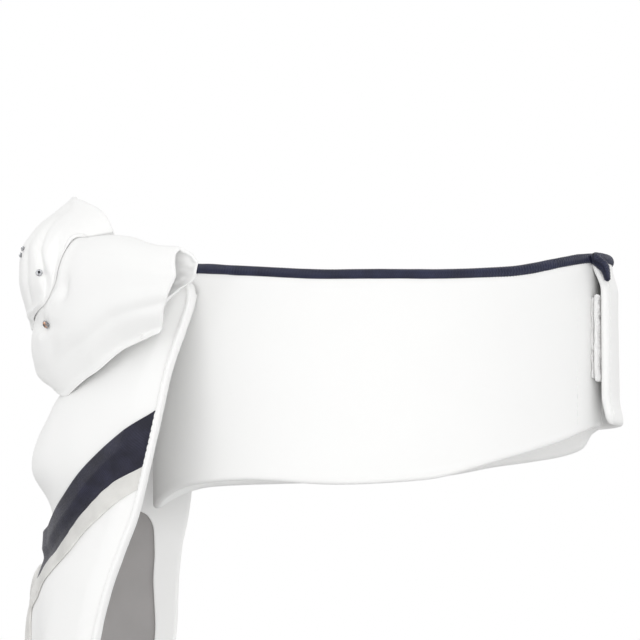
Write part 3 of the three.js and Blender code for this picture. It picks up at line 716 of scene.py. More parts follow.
def satin(name, colour, depth=1.0, roughness=0.42, sheen=0.2, thread=0.34, cloudy=0.97, glow=0.0):
    """Woven satin: long floats one way, a fine twill line across them, and faint cloudiness."""
    s = Shader(name)
    cloth = s.cloth()
    floats = s.noise(s.cloth(across=0.22), thread * 0.9, detail=1.0)
    twill = s.lines(s.cloth(turn=math.radians(63)), thread, wobble=0.8)
    slub = s.noise(s.cloth(across=0.06), 0.8, detail=2.0)
    cloud = s.noise(s.space(), 14, detail=3.0)
    s.set(
        Base_Color=s.mix(s.ramp(cloud, 0.35, 0.65, 0, 1), rgba(colour), rgba(shade(colour, cloudy))),
        Roughness=s.ramp(s.noise(cloth, 1.6), 0.3, 0.7, roughness - 0.05, roughness + 0.06),
        Sheen_Weight=sheen,
        Sheen_Roughness=0.4,
        Specular_IOR_Level=0.45,
        Subsurface_Weight=glow,
        Subsurface_Radius=(1, 0.95, 0.93),
        Subsurface_Scale=0.002,
    )
    s.bump((floats, 0.05 * depth), (twill, 0.022 * depth), (slub, 0.04 * depth))
    return s.material


def ribbed_satin(name, colour, light, pitch, slant, depth):
    """Dark satin with fine ribs, each pitch millimetres apart, with a painted highlight: the ribs are
    painted lighter, up to light times the colour, in patches, for threads that catch the light.
    """
    s = Shader(name)
    ribs = s.lines(s.cloth(turn=math.radians(slant)), pitch, wobble=1.2)
    threads = s.noise(s.cloth(across=0.3), 0.35, detail=2.0)
    highlight_patches = s.noise(s.space(), 5, detail=3.0)
    # Painted highlight: on the ribs the colour is lifted towards light times itself, most where the
    # highlight patches are.
    painted_highlight = s.math("MULTIPLY", ribs, s.ramp(highlight_patches, 0.35, 0.7, 0.35, 1.0))
    s.set(
        Base_Color=s.mix(painted_highlight, rgba(colour), rgba(shade(colour, light))),
        Roughness=s.ramp(threads, 0.3, 0.7, 0.34, 0.5),
        Sheen_Weight=0.02,
        Sheen_Roughness=0.35,
        Specular_IOR_Level=0.35,
    )
    s.bump((ribs, depth), (threads, 0.06))
    return s.material


def napped_tape(name, colour):
    """Hook-and-loop tape: a fuzzy, matted face."""
    s = Shader(name)
    fuzz = s.noise(s.space(), 0.5, detail=4.0, roughness=0.7)
    mats = s.noise(s.space(), 2.4, detail=2.0)
    s.set(
        Base_Color=s.mix(fuzz, rgba(shade(colour, 0.92)), rgba(colour)),
        Roughness=0.95,
        Sheen_Weight=0.6,
        Sheen_Roughness=0.6,
        Subsurface_Weight=0.5,
        Subsurface_Radius=(1, 1, 1),
        Subsurface_Scale=0.002,
    )
    s.bump((fuzz, 0.25), (mats, 0.2))
    return s.material


def facet(name, colour, roughness=0.04):
    """A polished crystal facet with its foil behind it, with a faint cloud in it."""
    s = Shader(name)
    cloud = s.noise(s.space(), 0.7)
    s.set(
        Base_Color=s.mix(cloud, rgba(colour), rgba(shade(colour, 0.7))),
        Roughness=roughness,
        Metallic=0.9,
        Coat_Weight=0.6,
        Coat_Roughness=0.02,
    )
    return s.material


# Where things lie on the collar band.

def band_point(turn, out, z):
    """Points at a turn round the neck, a distance out from the band's outer face and a level."""
    angle = np.radians(turn)
    return points_at((NECK_HALF_WIDTH + out) * np.sin(angle), -(NECK_HALF_DEPTH + out) * np.cos(angle), z)


def band_out(turn, z):
    """How far out the band's outer face lies, with the tab drawn in at its top and standing off below."""
    pinch = TAB_PINCH.by(turn) * smoothstep(z, *TAB_PINCH_LEVELS)
    flare = smoothstep(-turn, -TAB_FLARE.start, -TAB_FLARE.full)
    return BAND.out(turn) - pinch + TAB_FLARE.by * flare * smoothstep(-z, -TAB_FLARE.high, -TAB_FLARE.low)


def make_band(settings):
    wall = settings.band_wall / MM
    ends = math.degrees(wall / 2 / NECK_HALF_DEPTH)
    turn = in_row(UNDER_END - ends, TAB_END + ends, GRIDS.band[0])
    share = in_column(0, 1, GRIDS.band[1])
    reach = np.clip((TAB_CORNER - (turn - TAB_END) * math.radians(NECK_HALF_DEPTH)) / TAB_CORNER, 0, 1)
    corner = TAB_CORNER * (1 - np.sqrt(1 - reach ** 2))
    z = lerp(BAND.bottom(turn) + wall / 2 + corner, BAND.top(turn), share)
    sewn = smoothstep(share, 0, 0.03) * (1 - smoothstep(share, 0.97, 1))
    ripple = rumple(points_at(turn * BAND_DEGREE, 0.0, z), *BAND_RIPPLES) * sewn
    out = band_out(turn, z)
    back = band_point(turn, out + 0.5 * ripple - wall, z)
    return sheet("band_satin", band_point(turn, out + ripple, z), back, 6)


def make_band_stitches():
    """A row beside the soft tape and one inside the tab's end."""
    tape_z, tab_z = (
        np.linspace(BAND.bottom(row.turn) + row.low, BAND.top(row.turn) - row.high, BAND_STITCH.steps)
        for row in BAND_STITCH_ENDS
    )
    tape = band_point(BAND_STITCH.tape_turn, BAND_STITCH.out, tape_z)
    turn = TAB_END + BAND_STITCH.tab_inset
    tab = band_point(turn, band_out(turn, tab_z) + BAND_STITCH.out, tab_z)
    return stitches("band_stitches", BAND_STITCH, tape, tab)


def make_piping(settings):
    """The cord, wound with a slanted rib, and turned down at the tab's end."""
    radius = settings.piping_radius / MM
    middle = -settings.band_wall / MM / 2
    turn = np.linspace(UNDER_END, TAB_END + 0.6, PIPING_STEPS)
    top = BAND.top(TAB_END)
    end = []
    for row in PIPING_END:
        out = band_out(TAB_END, top - row.drop) + middle + PIPING_END_OUT * smoothstep(row.drop, 0, 3)
        end.append(band_point(TAB_END - row.past, out, top + PIPING_RISE - row.drop))
    end = np.array(end)
    fine = np.linspace(0, len(end) - 1, PIPING_END_STEPS)
    path = np.concatenate([
        band_point(turn, band_out(turn, PIPING_LEVEL) + middle, BAND.top(turn) + PIPING_RISE),
        np.stack([curve(np.arange(len(end)), end[:, k])(fine) for k in range(3)], axis=-1),
    ])
    outwards = path * [1, 1, 0] / [NECK_HALF_WIDTH, NECK_HALF_DEPTH, 1]
    taper = np.ones(len(path))
    taper[-PIPING_END_TAPER:] = np.linspace(1, 0.5, PIPING_END_TAPER)
    taper[-len(PIPING_TIPS.end):] = PIPING_TIPS.end
    taper[:len(PIPING_TIPS.start)] = PIPING_TIPS.start
    around = 2 * math.pi * np.arange(PIPING_SIDES) / PIPING_SIDES
    phase = 2 * math.pi * lengths(path)[:, None] / PIPING_RIBS.pitch + PIPING_RIBS.slant * np.cos(around)
    relief = PIPING_RIBS.depth * np.cos(phase) + rumple(path, PIPING_UNEVEN)[:, None]
    ways = frames(path, unit(outwards))
    return tube("piping_satin", path, *ways, radius, radius, PIPING_SIDES, taper, relief=relief)


def make_tape(row):
    """One of the closure's tapes, with a matted face and an uneven edge."""
    tape, seed = row.tape, row.seed
    turn = in_row(tape.start, tape.end, GRIDS.tape[0])
    z = in_column(tape.low, tape.high, GRIDS.tape[1])
    where = band_point(turn, 0, z)
    nap = rumple(where, (*TAPE_MATS.coarse, seed), (*TAPE_MATS.fine, seed + 1))
    ragged = rumple(where, (*TAPE_MATS.edge, seed + 2))
    edge = ragged * (1 - smoothstep(turn - tape.start, 0, TAPE_MATS.over))
    out = band_out(turn, z)
    front = band_point(turn + edge, out + tape.outer + nap, z)
    return sheet(row.node + "_nap", front, band_point(turn + edge, out + tape.inner, z), 4)


def make_fibres(row):
    """The nap of a closure tape: many small loops of fibre that stand out of its face."""
    tape = row.tape
    dice = np.random.default_rng(row.seed)
    points, faces = [], []
    for i in range(FIBRES):
        turn = dice.uniform(tape.start + FIBRE_MARGINS[0], tape.end + FIBRE_MARGINS[1])
        z = dice.uniform(tape.low, tape.high)
        lean = dice.uniform(-FIBRE.lean, FIBRE.lean, 2)
        tall = dice.uniform(FIBRE.short, 1.0) * row.nap
        out = band_out(turn, z) + tape.outer
        base = band_point(turn, out - FIBRE.root, z)
        tip = band_point(turn + lean[0], out + tall, z + lean[1])
        side = unit(np.cross(tip - base, [0, 0, 1])) * FIBRE.half_width
        bend = lerp(base, tip, FIBRE.bend_at) + [0, 0, dice.uniform(-FIBRE.bend, FIBRE.bend)]
        thin = side * FIBRE.tip
        points += [base - side, base + side, bend + side, bend - side, tip + thin, tip - thin]
        a, b, c, d, e, f = range(6 * i, 6 * i + 6)
        faces += [(a, b, c, d), (d, c, e, f)]
    return new_object(row.node + "_nap_fibres", points, faces)


# Where things lie on the bib.

def bib_base(side, z):
    """The bib's inner face at a side (-1 right edge to 1 left edge) and level."""
    turn = np.radians(BIB.turn(z))
    edge = np.where(side > 0, BIB.left(z), BIB.right(z))
    back = (1 - np.cos(turn * side)) / (1 - np.cos(turn))
    x = BIB.half(z) * np.sin(turn * side) / np.sin(turn)
    fold = 0
    for row in BIB_FOLDS:
        grown = 1 - smoothstep(z, row.start - BIB_FOLD_EASE, row.start)
        fold = fold + row.height * bell(side, row.side, row.width) * grown
    return points_at(x, lerp(BIB.front(z), edge, back) - fold, z)


def bib_normal(side, z):
    across = bib_base(side + 0.01, z) - bib_base(side - 0.01, z)
    rise = bib_base(side, z + 0.2) - bib_base(side, z - 0.2)
    return unit(np.cross(across, rise))


def bib_point(side, z, height):
    """Points on the bib at a side and level, a height above its inner face."""
    side, z, height = np.broadcast_arrays(side, z, height)
    return bib_base(side, z) + bib_normal(side, z) * height[..., None]


def bib_low(side):
    return BIB_BOTTOM + BIB_SIDE_RISE * np.abs(side) ** BIB_SIDE_POWER


def bib_high(side):
    return BIB_TOP - BIB_CORNER_DROP * np.abs(side) ** BIB_CORNER_POWER


def panel_puff(side, z):
    reach = np.where(z > PANEL_PUFF.level, PANEL_PUFF.above, PANEL_PUFF.below)
    return PANEL_PUFF.height * bell(side, 0, PANEL_PUFF.half) * bell(z, PANEL_PUFF.level, reach)


def pressed(side):
    """How much of a layer's height is left near the hem, where all the layers are sewn down."""
    return 1 - PRESSED.by * smoothstep(np.abs(side), PRESSED.start, CLOTH_SIDE)


def cloth_noise(side, z, *layers):
    return rumple(points_at(side * BIB_ARC, 0.0, z), *layers)


def bib_sheet(name, start, end, grid, high, low, inner, outer):
    """A sheet of the bib between two lines, each a level for a side, with its own two heights."""
    side = in_row(start, end, grid[0])
    z = lerp(high(side), low(side), in_column(0, 1, grid[1]))
    return sheet(name, bib_point(side, z, outer(side, z)), bib_point(side, z, inner(side, z)), 5)


def make_backing():
    return bib_sheet("bib_backing_satin", -CLOTH_SIDE, CLOTH_SIDE, GRIDS.backing, bib_high, bib_low,
                     lambda side, z: BACKING.inner, lambda side, z: BACKING.outer)


def make_facing(sign, name):
    """The strip of satin turned in along one inner edge of the bib."""
    inset = FACING_ENDS.inset
    z = lerp(BIB_TOP - inset, bib_low(FACING_ENDS.side) + inset, in_column(0, 1, GRIDS.facing[1]))
    side = sign * lerp(FACING.side(z), CLOTH_SIDE, in_row(0, 1, GRIDS.facing[0]))
    inner = FACING_DEPTH.inner + cloth_noise(side, z, FACING_LIFT)
    return sheet(name, bib_point(side, z, inner), bib_point(side, z, FACING_DEPTH.outer), 4)


def panel_height(side, z):
    """The upper panel's own soft pulls, which run down and out from the knot."""
    pull = PANEL_PULL
    where = points_at(side * pull.across, 0.0, (z + pull.slant * np.abs(side)) * pull.along)
    pulls = rumple(where, pull.long) + cloth_noise(side, z, pull.short)
    fade = PANEL_PULL_FADE
    kept = smoothstep(z, *fade.levels) * (1 - smoothstep(np.abs(side), *fade.sides))
    return panel_puff(side, z) + pulls * kept


def make_panel():
    return bib_sheet("bib_panel_satin", -CLOTH_SIDE, CLOTH_SIDE, GRIDS.panel, bib_high,
                     lambda side: VEE.navy_top(np.abs(side)) - EDGES_BELOW.panel,
                     lambda side, z: PANEL.inner * pressed(side) + panel_height(side, z),
                     lambda side, z: PANEL.outer * pressed(side) + panel_height(side, z))


def arm_line(name, sign):
    """One of the V's lines on one arm, carried on past the centre."""
    line = getattr(VEE, name)

    def at(side):
        along = side * sign
        return np.where(along >= 0, line(np.abs(along)), 2 * line(0.0) - line(np.abs(along)))

    return at


def arm_height(sign, height):
    """The height of a layer of one arm. The left arm is lifted where it crosses over the right one."""
    def at(side, z):
        far = np.abs(side)
        lift = CROSSING.lift * (1 - smoothstep(side, CROSSING.start, CROSSING.end)) if sign > 0 else 0
        edge = VEE.navy_top(far)
        step = STEP_OVER_PANEL.by * smoothstep(z, edge - STEP_OVER_PANEL.low, edge - STEP_OVER_PANEL.high)
        kept = (1 - smoothstep(far, *ARM_PULL_FADE.edge)) * smoothstep(far, *ARM_PULL_FADE.centre)
        soft = cloth_noise(side, z, *ARM_PULLS) * kept
        return (height + step) * pressed(side) + lift + panel_puff(side, z) + soft

    return at


def arm_sheet(name, sign, grid, high, low):
    """A layer of one arm of the V, which the left arm carries on past the centre."""
    past = CROSSING.past if sign > 0 else 0
    return bib_sheet(name, -past * sign, CLOTH_SIDE * sign, grid, high, low,
                     arm_height(sign, WRAP.inner), arm_height(sign, WRAP.outer))


def make_navy(sign, name):
    high, low = arm_line("navy_top", sign), arm_line("navy_bottom", sign)
    return arm_sheet(name, sign, GRIDS.navy, high, lambda side: low(side) - EDGES_BELOW.navy)


def make_wrap(sign, name):
    high = arm_line("navy_bottom", sign)
    return arm_sheet(name, sign, GRIDS.wrap, lambda side: high(side) - EDGES_BELOW.wrap, bib_low)


def make_trim(sign, name):
    """A ribbon laid along one arm of the V. The left one turns down the crossing edge."""
    left = sign > 0
    side = np.linspace(CLOTH_SIDE, CROSSING.past if left else TRIM_RIGHT_END, TRIM_KNOTS) * sign
    middle = (arm_line("navy_bottom", sign)(side) + arm_line("trim_bottom", sign)(side)) / 2
    knots = np.array(list(zip(side, middle)) + (TRIM_TURN if left else []))
    along = lengths(knots * [BIB_ARC, 1])
    at = np.linspace(0, along[-1], TRIM_STEPS[0] if left else TRIM_STEPS[1])
    path_side, path_z = (curve(along, knots[:, k])(at)[None, :] for k in range(2))
    ways = np.gradient(np.concatenate([path_side * BIB_ARC, path_z]), axis=1)
    way_side, way_z = unit(ways.T).T[:, None, :]
    share = in_column(-0.5, 0.5, GRIDS.trim)
    offset = share * TRIM_WIDTH
    plumb = smoothstep(at, TRIM_PLUMB, 0)[None, :]
    side = lerp(path_side - way_z * offset / BIB_ARC, path_side, plumb)
    z = lerp(path_z + way_side * offset, path_z + offset / np.where(plumb > 0, way_side, 1), plumb)
    crown = TRIM_CROWN * np.cos(np.pi * share) * pressed(side)
    pucker = rumple(points_at(at, offset, 0.0), TRIM_PUCKER)
    swell = TRIM_SWELL.height * bell(side, TRIM_SWELL.side, TRIM_SWELL.width)
    outer = arm_height(sign, TRIM.outer)(side, z) + crown + pucker + swell
    inner = arm_height(sign, TRIM.inner)(side, z)
    return sheet(name, bib_point(side, z, outer), bib_point(side, z, inner), 4)


def hem_route(inset):
    """The sides and levels of the bib's edge from its top left corner round to its top right corner."""
    edge = HEM_SIDE - inset / BIB_ARC

    def low_edge(side):
        slope = BIB_SIDE_RISE * BIB_SIDE_POWER * np.abs(side) ** (BIB_SIDE_POWER - 1) / BIB_ARC
        return bib_low(side) - HEM_CLEAR * np.hypot(1, slope) + inset

    half = [(min(side, edge), bib_high(side) + above - inset) for side, above in HEM_CORNER]
    top, bottom = bib_high(1.0) - 1 - inset, low_edge(edge)
    half += [(edge, lerp(top, bottom, i / 24)) for i in range(24)]
    half += [(side, low_edge(side)) for side in np.linspace(edge, 0.06, 30)]
    route = np.array(half + [(0, low_edge(0.0))] + [(-side, z) for side, z in reversed(half)], float)
    along = lengths(route * [BIB_ARC, 1])
    keep = np.concatenate([[True], np.diff(along) > 1e-6])
    at = np.linspace(0, along[-1], HEM_STEPS)
    path = np.stack([np.interp(at, along[keep], route[keep, k]) for k in range(2)], axis=-1)
    for _ in range(HEM_SOFTENING):
        path = np.concatenate([path[:1], (path[:-2] + path[1:-1] * 2 + path[2:]) / 4, path[-1:]])
    return path.T


def make_hem(settings):
    half = settings.hem_width / MM / 2
    side, z = hem_route(0)
    path = bib_point(side, z, HEM_MIDDLE)
    pucker = 1 + rumple(path, *HEM_PUCKERS)
    section = half * pucker, HEM_HALF_HEIGHT * pucker, HEM_SECTION.sides
    return tube("hem_satin", path, *frames(path, bib_normal(side, z)), *section, power=HEM_SECTION.power)


def make_hem_stitches():
    side, z = hem_route(HEM_STITCH.inset)
    path = bib_point(side, z, HEM_MIDDLE + HEM_HALF_HEIGHT * HEM_STITCH.share)
    return stitches("hem_stitches", HEM_STITCH, path)


# The knot.

def lobe_middle(at):
    return points_at(LOBE.x(at), LOBE.y(at), LOBE.z(at))


def lobe_folds(at, turn):
    """How far the cloth of a loop lies in from its plain section: creases, dimples and small pulls."""
    down = LOBE.down(at)
    above = np.minimum(LOBE_LIP.above, LOBE_LIP.most * down)
    lip_turn = -np.degrees(np.arcsin((down - above) / down))
    inset = LOBE.crease(at) * bell(turn, lip_turn, LOBE_LIP.width)
    edge = LOBE_LIP.edge * np.minimum(1, LOBE.crease(at))
    inset = inset - edge * bell(turn, LOBE_LIP.edge_turn, LOBE_LIP.edge_width)
    for row in LOBE_DIMPLES:
        inset = inset + row.depth * bell(at, row.at, row.along) * bell(turn, row.turn, row.round)
    line = LOBE_PULL.turn + LOBE_PULL.slope * (at - LOBE_PULL.at)
    pull = bell(turn, line, LOBE_PULL.width) * bell(at, LOBE_PULL.at, LOBE_PULL.reach)
    inset = inset + LOBE_PULL.depth * pull
    ridge = lerp(LOBE_RIDGE.root, LOBE_RIDGE.at, smoothstep(turn, *LOBE_RIDGE.bend))
    risen = smoothstep(turn, *LOBE_RIDGE.start) * (1 - smoothstep(turn, *LOBE_RIDGE.end))
    inset = inset - LOBE_RIDGE.height * risen * bell(at, ridge, LOBE_RIDGE.width)
    angle = np.radians(turn)
    where = points_at(12 * np.cos(angle), 12 * np.sin(angle), 9 * at)
    gather = 1 - smoothstep(at, LOBE_GATHER.start, LOBE_GATHER.end)
    pleats = LOBE_GATHER.by + rumple(where, LOBE_GATHER.pleats)
    return inset + gather * pleats + rumple(where, LOBE_GATHER.soft)


def tucked_under(at, lower, sideways, shrink):
    """The near side's distance from the loop's middle, with the cloth below the lip's crease tucked in."""
    down = LOBE.down(at)
    above = np.minimum(LOBE_LIP.above, LOBE_LIP.most * down)
    full = (LOBE.out(at) - shrink) * np.sqrt(1 - ((down - above) / down) ** 2)
    height = (down - shrink) * (1 - lower)
    chord = LOBE_LIP.tuck - shrink + (full - LOBE_LIP.tuck + shrink) * height / above
    cut = -LOBE_LIP.soft * np.logaddexp(-sideways / LOBE_LIP.soft, -chord / LOBE_LIP.soft)
    share = np.minimum(1, LOBE.crease(at)) * smoothstep(lower, 0.1, 0.5)
    return lerp(sideways, np.where(sideways > 0, cut, sideways), share)


def lobe_point(sign, at, turn, depth, folded=True):
    """Points on a loop: its station, the turn round its section (0 outwards, 90 up) and depth inwards."""
    at, turn, depth = np.broadcast_arrays(at, turn, depth)
    middle = lobe_middle(at)
    along = unit((lobe_middle(at + 0.01) - lobe_middle(at - 0.01)) * [1, 1, 0])
    outwards = np.stack([along[..., 1], -along[..., 0], 0 * at], axis=-1)
    angle = np.radians(turn)
    mouth = smoothstep(at, MOUTH_START, 1)
    inner = smoothstep(-np.cos(angle), *MOUTH_SIDES)
    lower = -np.sin(angle)
    shrink = depth + (lobe_folds(at, turn) if folded else 0)
    closed = mouth * smoothstep(lower, MOUTH_CLOSED.start, MOUTH_CLOSED.end)
    far_side = lerp(-LOBE.inward(at), LOBE.out(at) - MOUTH_CLOSED.gap, closed) + shrink
    sideways = np.where(np.cos(angle) > 0, LOBE.out(at) - shrink, far_side) * np.abs(np.cos(angle))
    upright = np.where(np.sin(angle) > 0, LOBE.up(at), LOBE.down(at))
    if folded:
        sideways = tucked_under(at, lower, sideways, shrink)
    point = middle + outwards * sideways[..., None]
    point[..., 2] += (upright - shrink) * np.sin(angle)
    point = point + along * (lerp(MOUTH.near(lower), MOUTH.far(lower), inner) * mouth)[..., None]
    point[..., 0] *= sign
    if sign < 0:
        point[..., 2] += RIGHT_LOBE_RAISE.by * smoothstep(at, 0, RIGHT_LOBE_RAISE.over)
    return point


@functools.lru_cache(maxsize=None)
def lobe_layers(sign, wall):
    """The outer and inner faces of a loop's cloth, as grids of points from the centre to the mouth."""
    stations, sides = GRIDS.lobe
    turn = -180 + 360 * np.arange(sides) / sides
    share = (np.arange(stations)[:, None] / (stations - 1)) ** LOBE_SPACING
    outer = lobe_point(sign, share, turn, 0.0)
    inner = lobe_point(sign, lerp(LOBE_INNER_START, 1, share), turn, wall)
    crumple = rumple(outer * LOBE_CRUMPLE.stretch, LOBE_CRUMPLE.layer) * bell(share, 1, LOBE_CRUMPLE.over)
    crumple = crumple * smoothstep(-np.cos(np.radians(turn)), *LOBE_CRUMPLE.sides)
    move = unit(outer - inner) * (rumple(outer, *LOBE_PULLS) + crumple)[..., None]
    return outer + move, inner + move


def make_lobe(sign, name, settings):
    """A loop of the knot: a thin-walled bag, gathered at the front centre and open at its mouth."""
    outer, inner = lobe_layers(sign, settings.knot_wall / MM)
    sides = outer.shape[1]
    middle, half = (outer[-1] + inner[-1]) / 2, (outer[-1] - inner[-1]) / 2
    ahead = unit(middle - (outer[-2] + inner[-2]) / 2) * np.linalg.norm(half, axis=1, keepdims=True)
    angles = np.pi * np.arange(1, LOBE_RIM)[:, None, None] / LOBE_RIM
    rings = np.concatenate([outer, middle + half * np.cos(angles) + ahead * np.sin(angles), inner[::-1]])
    faces = grid_faces(0, len(rings), sides, closed=True)
    count = len(rings) * sides
    for i in range(sides):
        following = (i + 1) % sides
        faces += [(count, following, i), (count + 1, count - sides + i, count - sides + following)]
    points = np.concatenate([rings.reshape(-1, 3), outer[:1].mean(axis=1), inner[:1].mean(axis=1)])
    uv = cloth_uv(rings).reshape(-1, 2)
    return new_object(name, points, faces, np.concatenate([uv, uv[:1], uv[-1:]]))


def puff_folds(side, up):
    """How far the gathered centre's pleats and puckers lie in, by side and up."""
    tuck = PUFF_TUCK
    total = tuck.depth * bell(side, tuck.side, tuck.across) * bell(up, tuck.up, tuck.rise)
    for row in PUFF_FOLDS:
        fold = row.depth * bell(side, row.side + row.lean * (up - 0.5), row.width)
        ease = PUFF_FOLD_EASE
        fold = fold * smoothstep(up, row.low - ease.low, row.low + ease.low)
        total = total + fold * (1 - smoothstep(up, row.high - ease.high, row.high + ease.high))
    pucker = PUFF_PUCKER
    where = points_at(pucker.around * side, 0.0, pucker.along * up)
    puckers = pucker.height * (1 + lumps(where, pucker.size, pucker.seed))
    return total + puckers * (1 - smoothstep(up, *pucker.fade))


def puff_point(side, up):
    """Points on the gathered centre's outer face: side (-1 to 1 round its front) and up (0 to 1)."""
    angle = side * math.pi / 2
    inset = puff_folds(side, up)
    half = np.where(side > 0, PUFF.left_half(up), PUFF.right_half(up)) - inset
    back = np.where(side > 0, PUFF.left_back(up), PUFF.right_back(up))
    edge = np.where(side > 0, PUFF.left_level(up), PUFF.right_level(up))
    rise = PUFF_TIP.rise * bell(side, PUFF_TIP.side, PUFF_TIP.width) * smoothstep(up, 0.2, 1)
    root = PUFF_ROOT.drop * np.cos(angle) ** 2 * (1 - smoothstep(up, 0, PUFF_ROOT.over))
    wave = PUFF_CURL.back + PUFF_CURL.ripple * np.sin(PUFF_CURL.waves * math.pi * side)
    y = lerp(back, PUFF.front(up) + inset, np.cos(angle)) + smoothstep(up, PUFF_CURL.start, 1) ** 2 * wave
    z = lerp(PUFF.z(up), edge, np.abs(side) ** PUFF_EDGE_POWER) + rise - root
    return points_at(PUFF.lean(up) + half * np.sin(angle), y, z)


@functools.lru_cache(maxsize=None)
def puff_layers(wall):
    """The outer and inner faces of the gathered centre, laid over the two loops."""
    side = in_row(-1, 1, GRIDS.puff[0])
    up = in_column(0, 1, GRIDS.puff[1])
    held = smoothstep(np.abs(side), *PUFF_HELD.sides) * (1 - smoothstep(up, *PUFF_HELD.ups))
    off_centre = smoothstep(np.abs(side), PUFF_EDGE.start, PUFF_EDGE.full)
    held = np.maximum(held, off_centre * (1 - smoothstep(up, 0, PUFF_EDGE.root)))
    thick = wall * (1 - PUFF_EDGE.thin * held)
    clearance = thick + lerp(KNOT_GAP, PUFF_EDGE.gap, held)
    at = in_column(0, 1, 90)
    turn = np.arange(-180, 180, 3)
    carriers = [lobe_point(sign, at, turn, 0.0, folded=False)[:, ::-sign] for sign in (1, -1)]
    grid = laid_on(puff_point(side, up), carriers, clearance, held)
    carriers = [lobe_layers(sign, wall)[0][:, ::-sign] for sign in (1, -1)]
    grid = laid_on(relaxed(grid, 4), carriers, clearance, held)
    grid = relaxed(laid_on(relaxed(grid, 3), carriers, clearance, held), 2)
    outwards = grid_normals(relaxed(grid, 12))
    pull = (rumple(grid, *PUFF_PULLS) * (1 - held))[..., None] * outwards
    return grid + pull, grid + pull - outwards * thick[..., None]


def make_puff(settings):
    front, back = puff_layers(settings.knot_wall / MM)
    return sheet("centre_satin", front, back, rim=6)


def crystal_seat(row, settings):
    """Where a crystal is pinned, and the way that the cloth faces there."""
    wall = settings.knot_wall / MM
    if row.on == "centre":
        grid = puff_layers(wall)[0]
        r, c = row.b * (grid.shape[0] - 1), (row.a + 1) / 2 * (grid.shape[1] - 1)
    else:
        sign = 1 if row.on == "left" else -1
        grid = lobe_layers(sign, wall)[0][:, ::sign]
        r = row.a ** (1 / LOBE_SPACING) * (grid.shape[0] - 1)
        c = (row.b + 180) / 360 * grid.shape[1]
        c = c if sign > 0 else grid.shape[1] - 1 - c
    r, c = int(round(float(r))), int(round(float(c)))
    normal = grid_normals(grid)[r, c]
    ahead = grid[r, c] - KNOT_HEART
    return grid[r, c], normal if (normal * ahead).sum() > 0 else -normal


def make_crystal(row, materials, settings):
    """A round cut crystal: a table, a crown of facets, a girdle and a foil cup. Its table is painted dark as
    a reflection, and its crown facets are painted bright and grey as glints and shade.
    """
    place, normal = crystal_seat(row, settings)
    right = unit(np.cross(normal, [0, 0, 1.0]))
    other = np.cross(normal, right)
    n = CRYSTAL_FACETS
    points = []
    for radius, height, turn in CRYSTAL_RINGS:
        a = 2 * math.pi * (np.arange(n)[:, None] + turn) / n
        ring = radius * (right * np.cos(a) + other * np.sin(a)) + normal * height
        points.append(place + row.radius * ring)
    faces = [(tuple(range(n)), CRYSTAL_PAINTED_DARK)]
    for i in range(n):
        top, mid, girdle, low, cup = range(i, 5 * n, n)
        top_2, _, girdle_2, low_2, cup_2 = range((i + 1) % n, 5 * n, n)
        faces += [
            ((top, mid, top_2), CRYSTAL_PAINTED_GLINT),
            ((mid, girdle, girdle_2), CRYSTAL_CUP_AND_SHADE),
            ((mid, girdle_2, top_2), CRYSTAL_CUP_AND_SHADE if i % 2 else CRYSTAL_PAINTED_GLINT),
            ((top, girdle, mid), CRYSTAL_PAINTED_GLINT),
            ((girdle, low, low_2, girdle_2), CRYSTAL_CUP_AND_SHADE),
            ((low, cup, cup_2, low_2), CRYSTAL_CUP_AND_SHADE),
        ]
    faces.append((tuple(reversed(range(4 * n, 5 * n))), CRYSTAL_CUP_AND_SHADE))
    obj = new_object("cut_" + row.node, np.concatenate(points), [face for face, _ in faces])
    obj.data.shade_flat()
    for material in materials:
        obj.data.materials.append(material)
    for polygon, (_, kind) in zip(obj.data.polygons, faces):
        polygon.material_index = kind
    return obj


# The user's sizes and colours.

class StockSettings(bpy.types.PropertyGroup):
    """Sizes and colours of the stock cravat."""

    satin_colour: bpy.props.FloatVectorProperty(
        name="Satin", description="Colour of the white satin", subtype="COLOR", size=3, min=0, max=1,
        default=(0.92, 0.917, 0.912))
    navy_colour: bpy.props.FloatVectorProperty(
        name="Navy", description="Colour of the navy satin", subtype="COLOR", size=3, min=0, max=1,
        default=(0.006, 0.006, 0.012))
    piping_colour: bpy.props.FloatVectorProperty(
        name="Piping", description="Colour of the cord on the collar's top edge", subtype="COLOR", size=3,
        min=0, max=1, default=(0.012, 0.014, 0.032))
    trim_colour: bpy.props.FloatVectorProperty(
        name="Trim", description="Colour of the silver ribbon", subtype="COLOR", size=3, min=0, max=1,
        default=(0.86, 0.85, 0.82))
    # The grey inside the bib is painted shade: the backing is coloured grey where the bib's hollow falls in
    # shade.
    inside_shade_colour: bpy.props.FloatVectorProperty(
        name="Inside shade", description="Colour inside the bib", subtype="COLOR", size=3, min=0, max=1,
        default=(0.42, 0.405, 0.4))
    tape_colour: bpy.props.FloatVectorProperty(
        name="Tape", description="Colour of the closure's tapes", subtype="COLOR", size=3, min=0, max=1,
        default=(0.93, 0.925, 0.915))
    band_wall: bpy.props.FloatProperty(
        name="Band wall", description="Thickness of the collar band", default=0.0024, min=0.001,
        unit="LENGTH")
    piping_radius: bpy.props.FloatProperty(
        name="Piping radius", description="Radius of the cord", default=0.00165, min=0.0005, unit="LENGTH")
    hem_width: bpy.props.FloatProperty(
        name="Hem width", description="Width of the folded hem", default=0.0018, min=0.001, unit="LENGTH")
    knot_wall: bpy.props.FloatProperty(
        name="Knot wall", description="Thickness of the knot's cloth", default=0.0012, min=0.0005,
        unit="LENGTH")
    key_light: bpy.props.FloatProperty(
        name="Key light", description="Power of the large soft light", default=4.5, unit="POWER", min=0)
    sky: bpy.props.FloatProperty(
        name="Sky", description="Light of the white surround", default=0.8, min=0)


def settings_of(context):
    return context.scene.stock_settings


def place_white(obj, settings, *nodes):
    """Places a piece of the white satin, which is made once."""
    cloth = bpy.data.materials.get("white_satin") or satin("white_satin", settings.satin_colour, glow=0.3)
    place_piece(obj, cloth, "white_satin", *nodes)


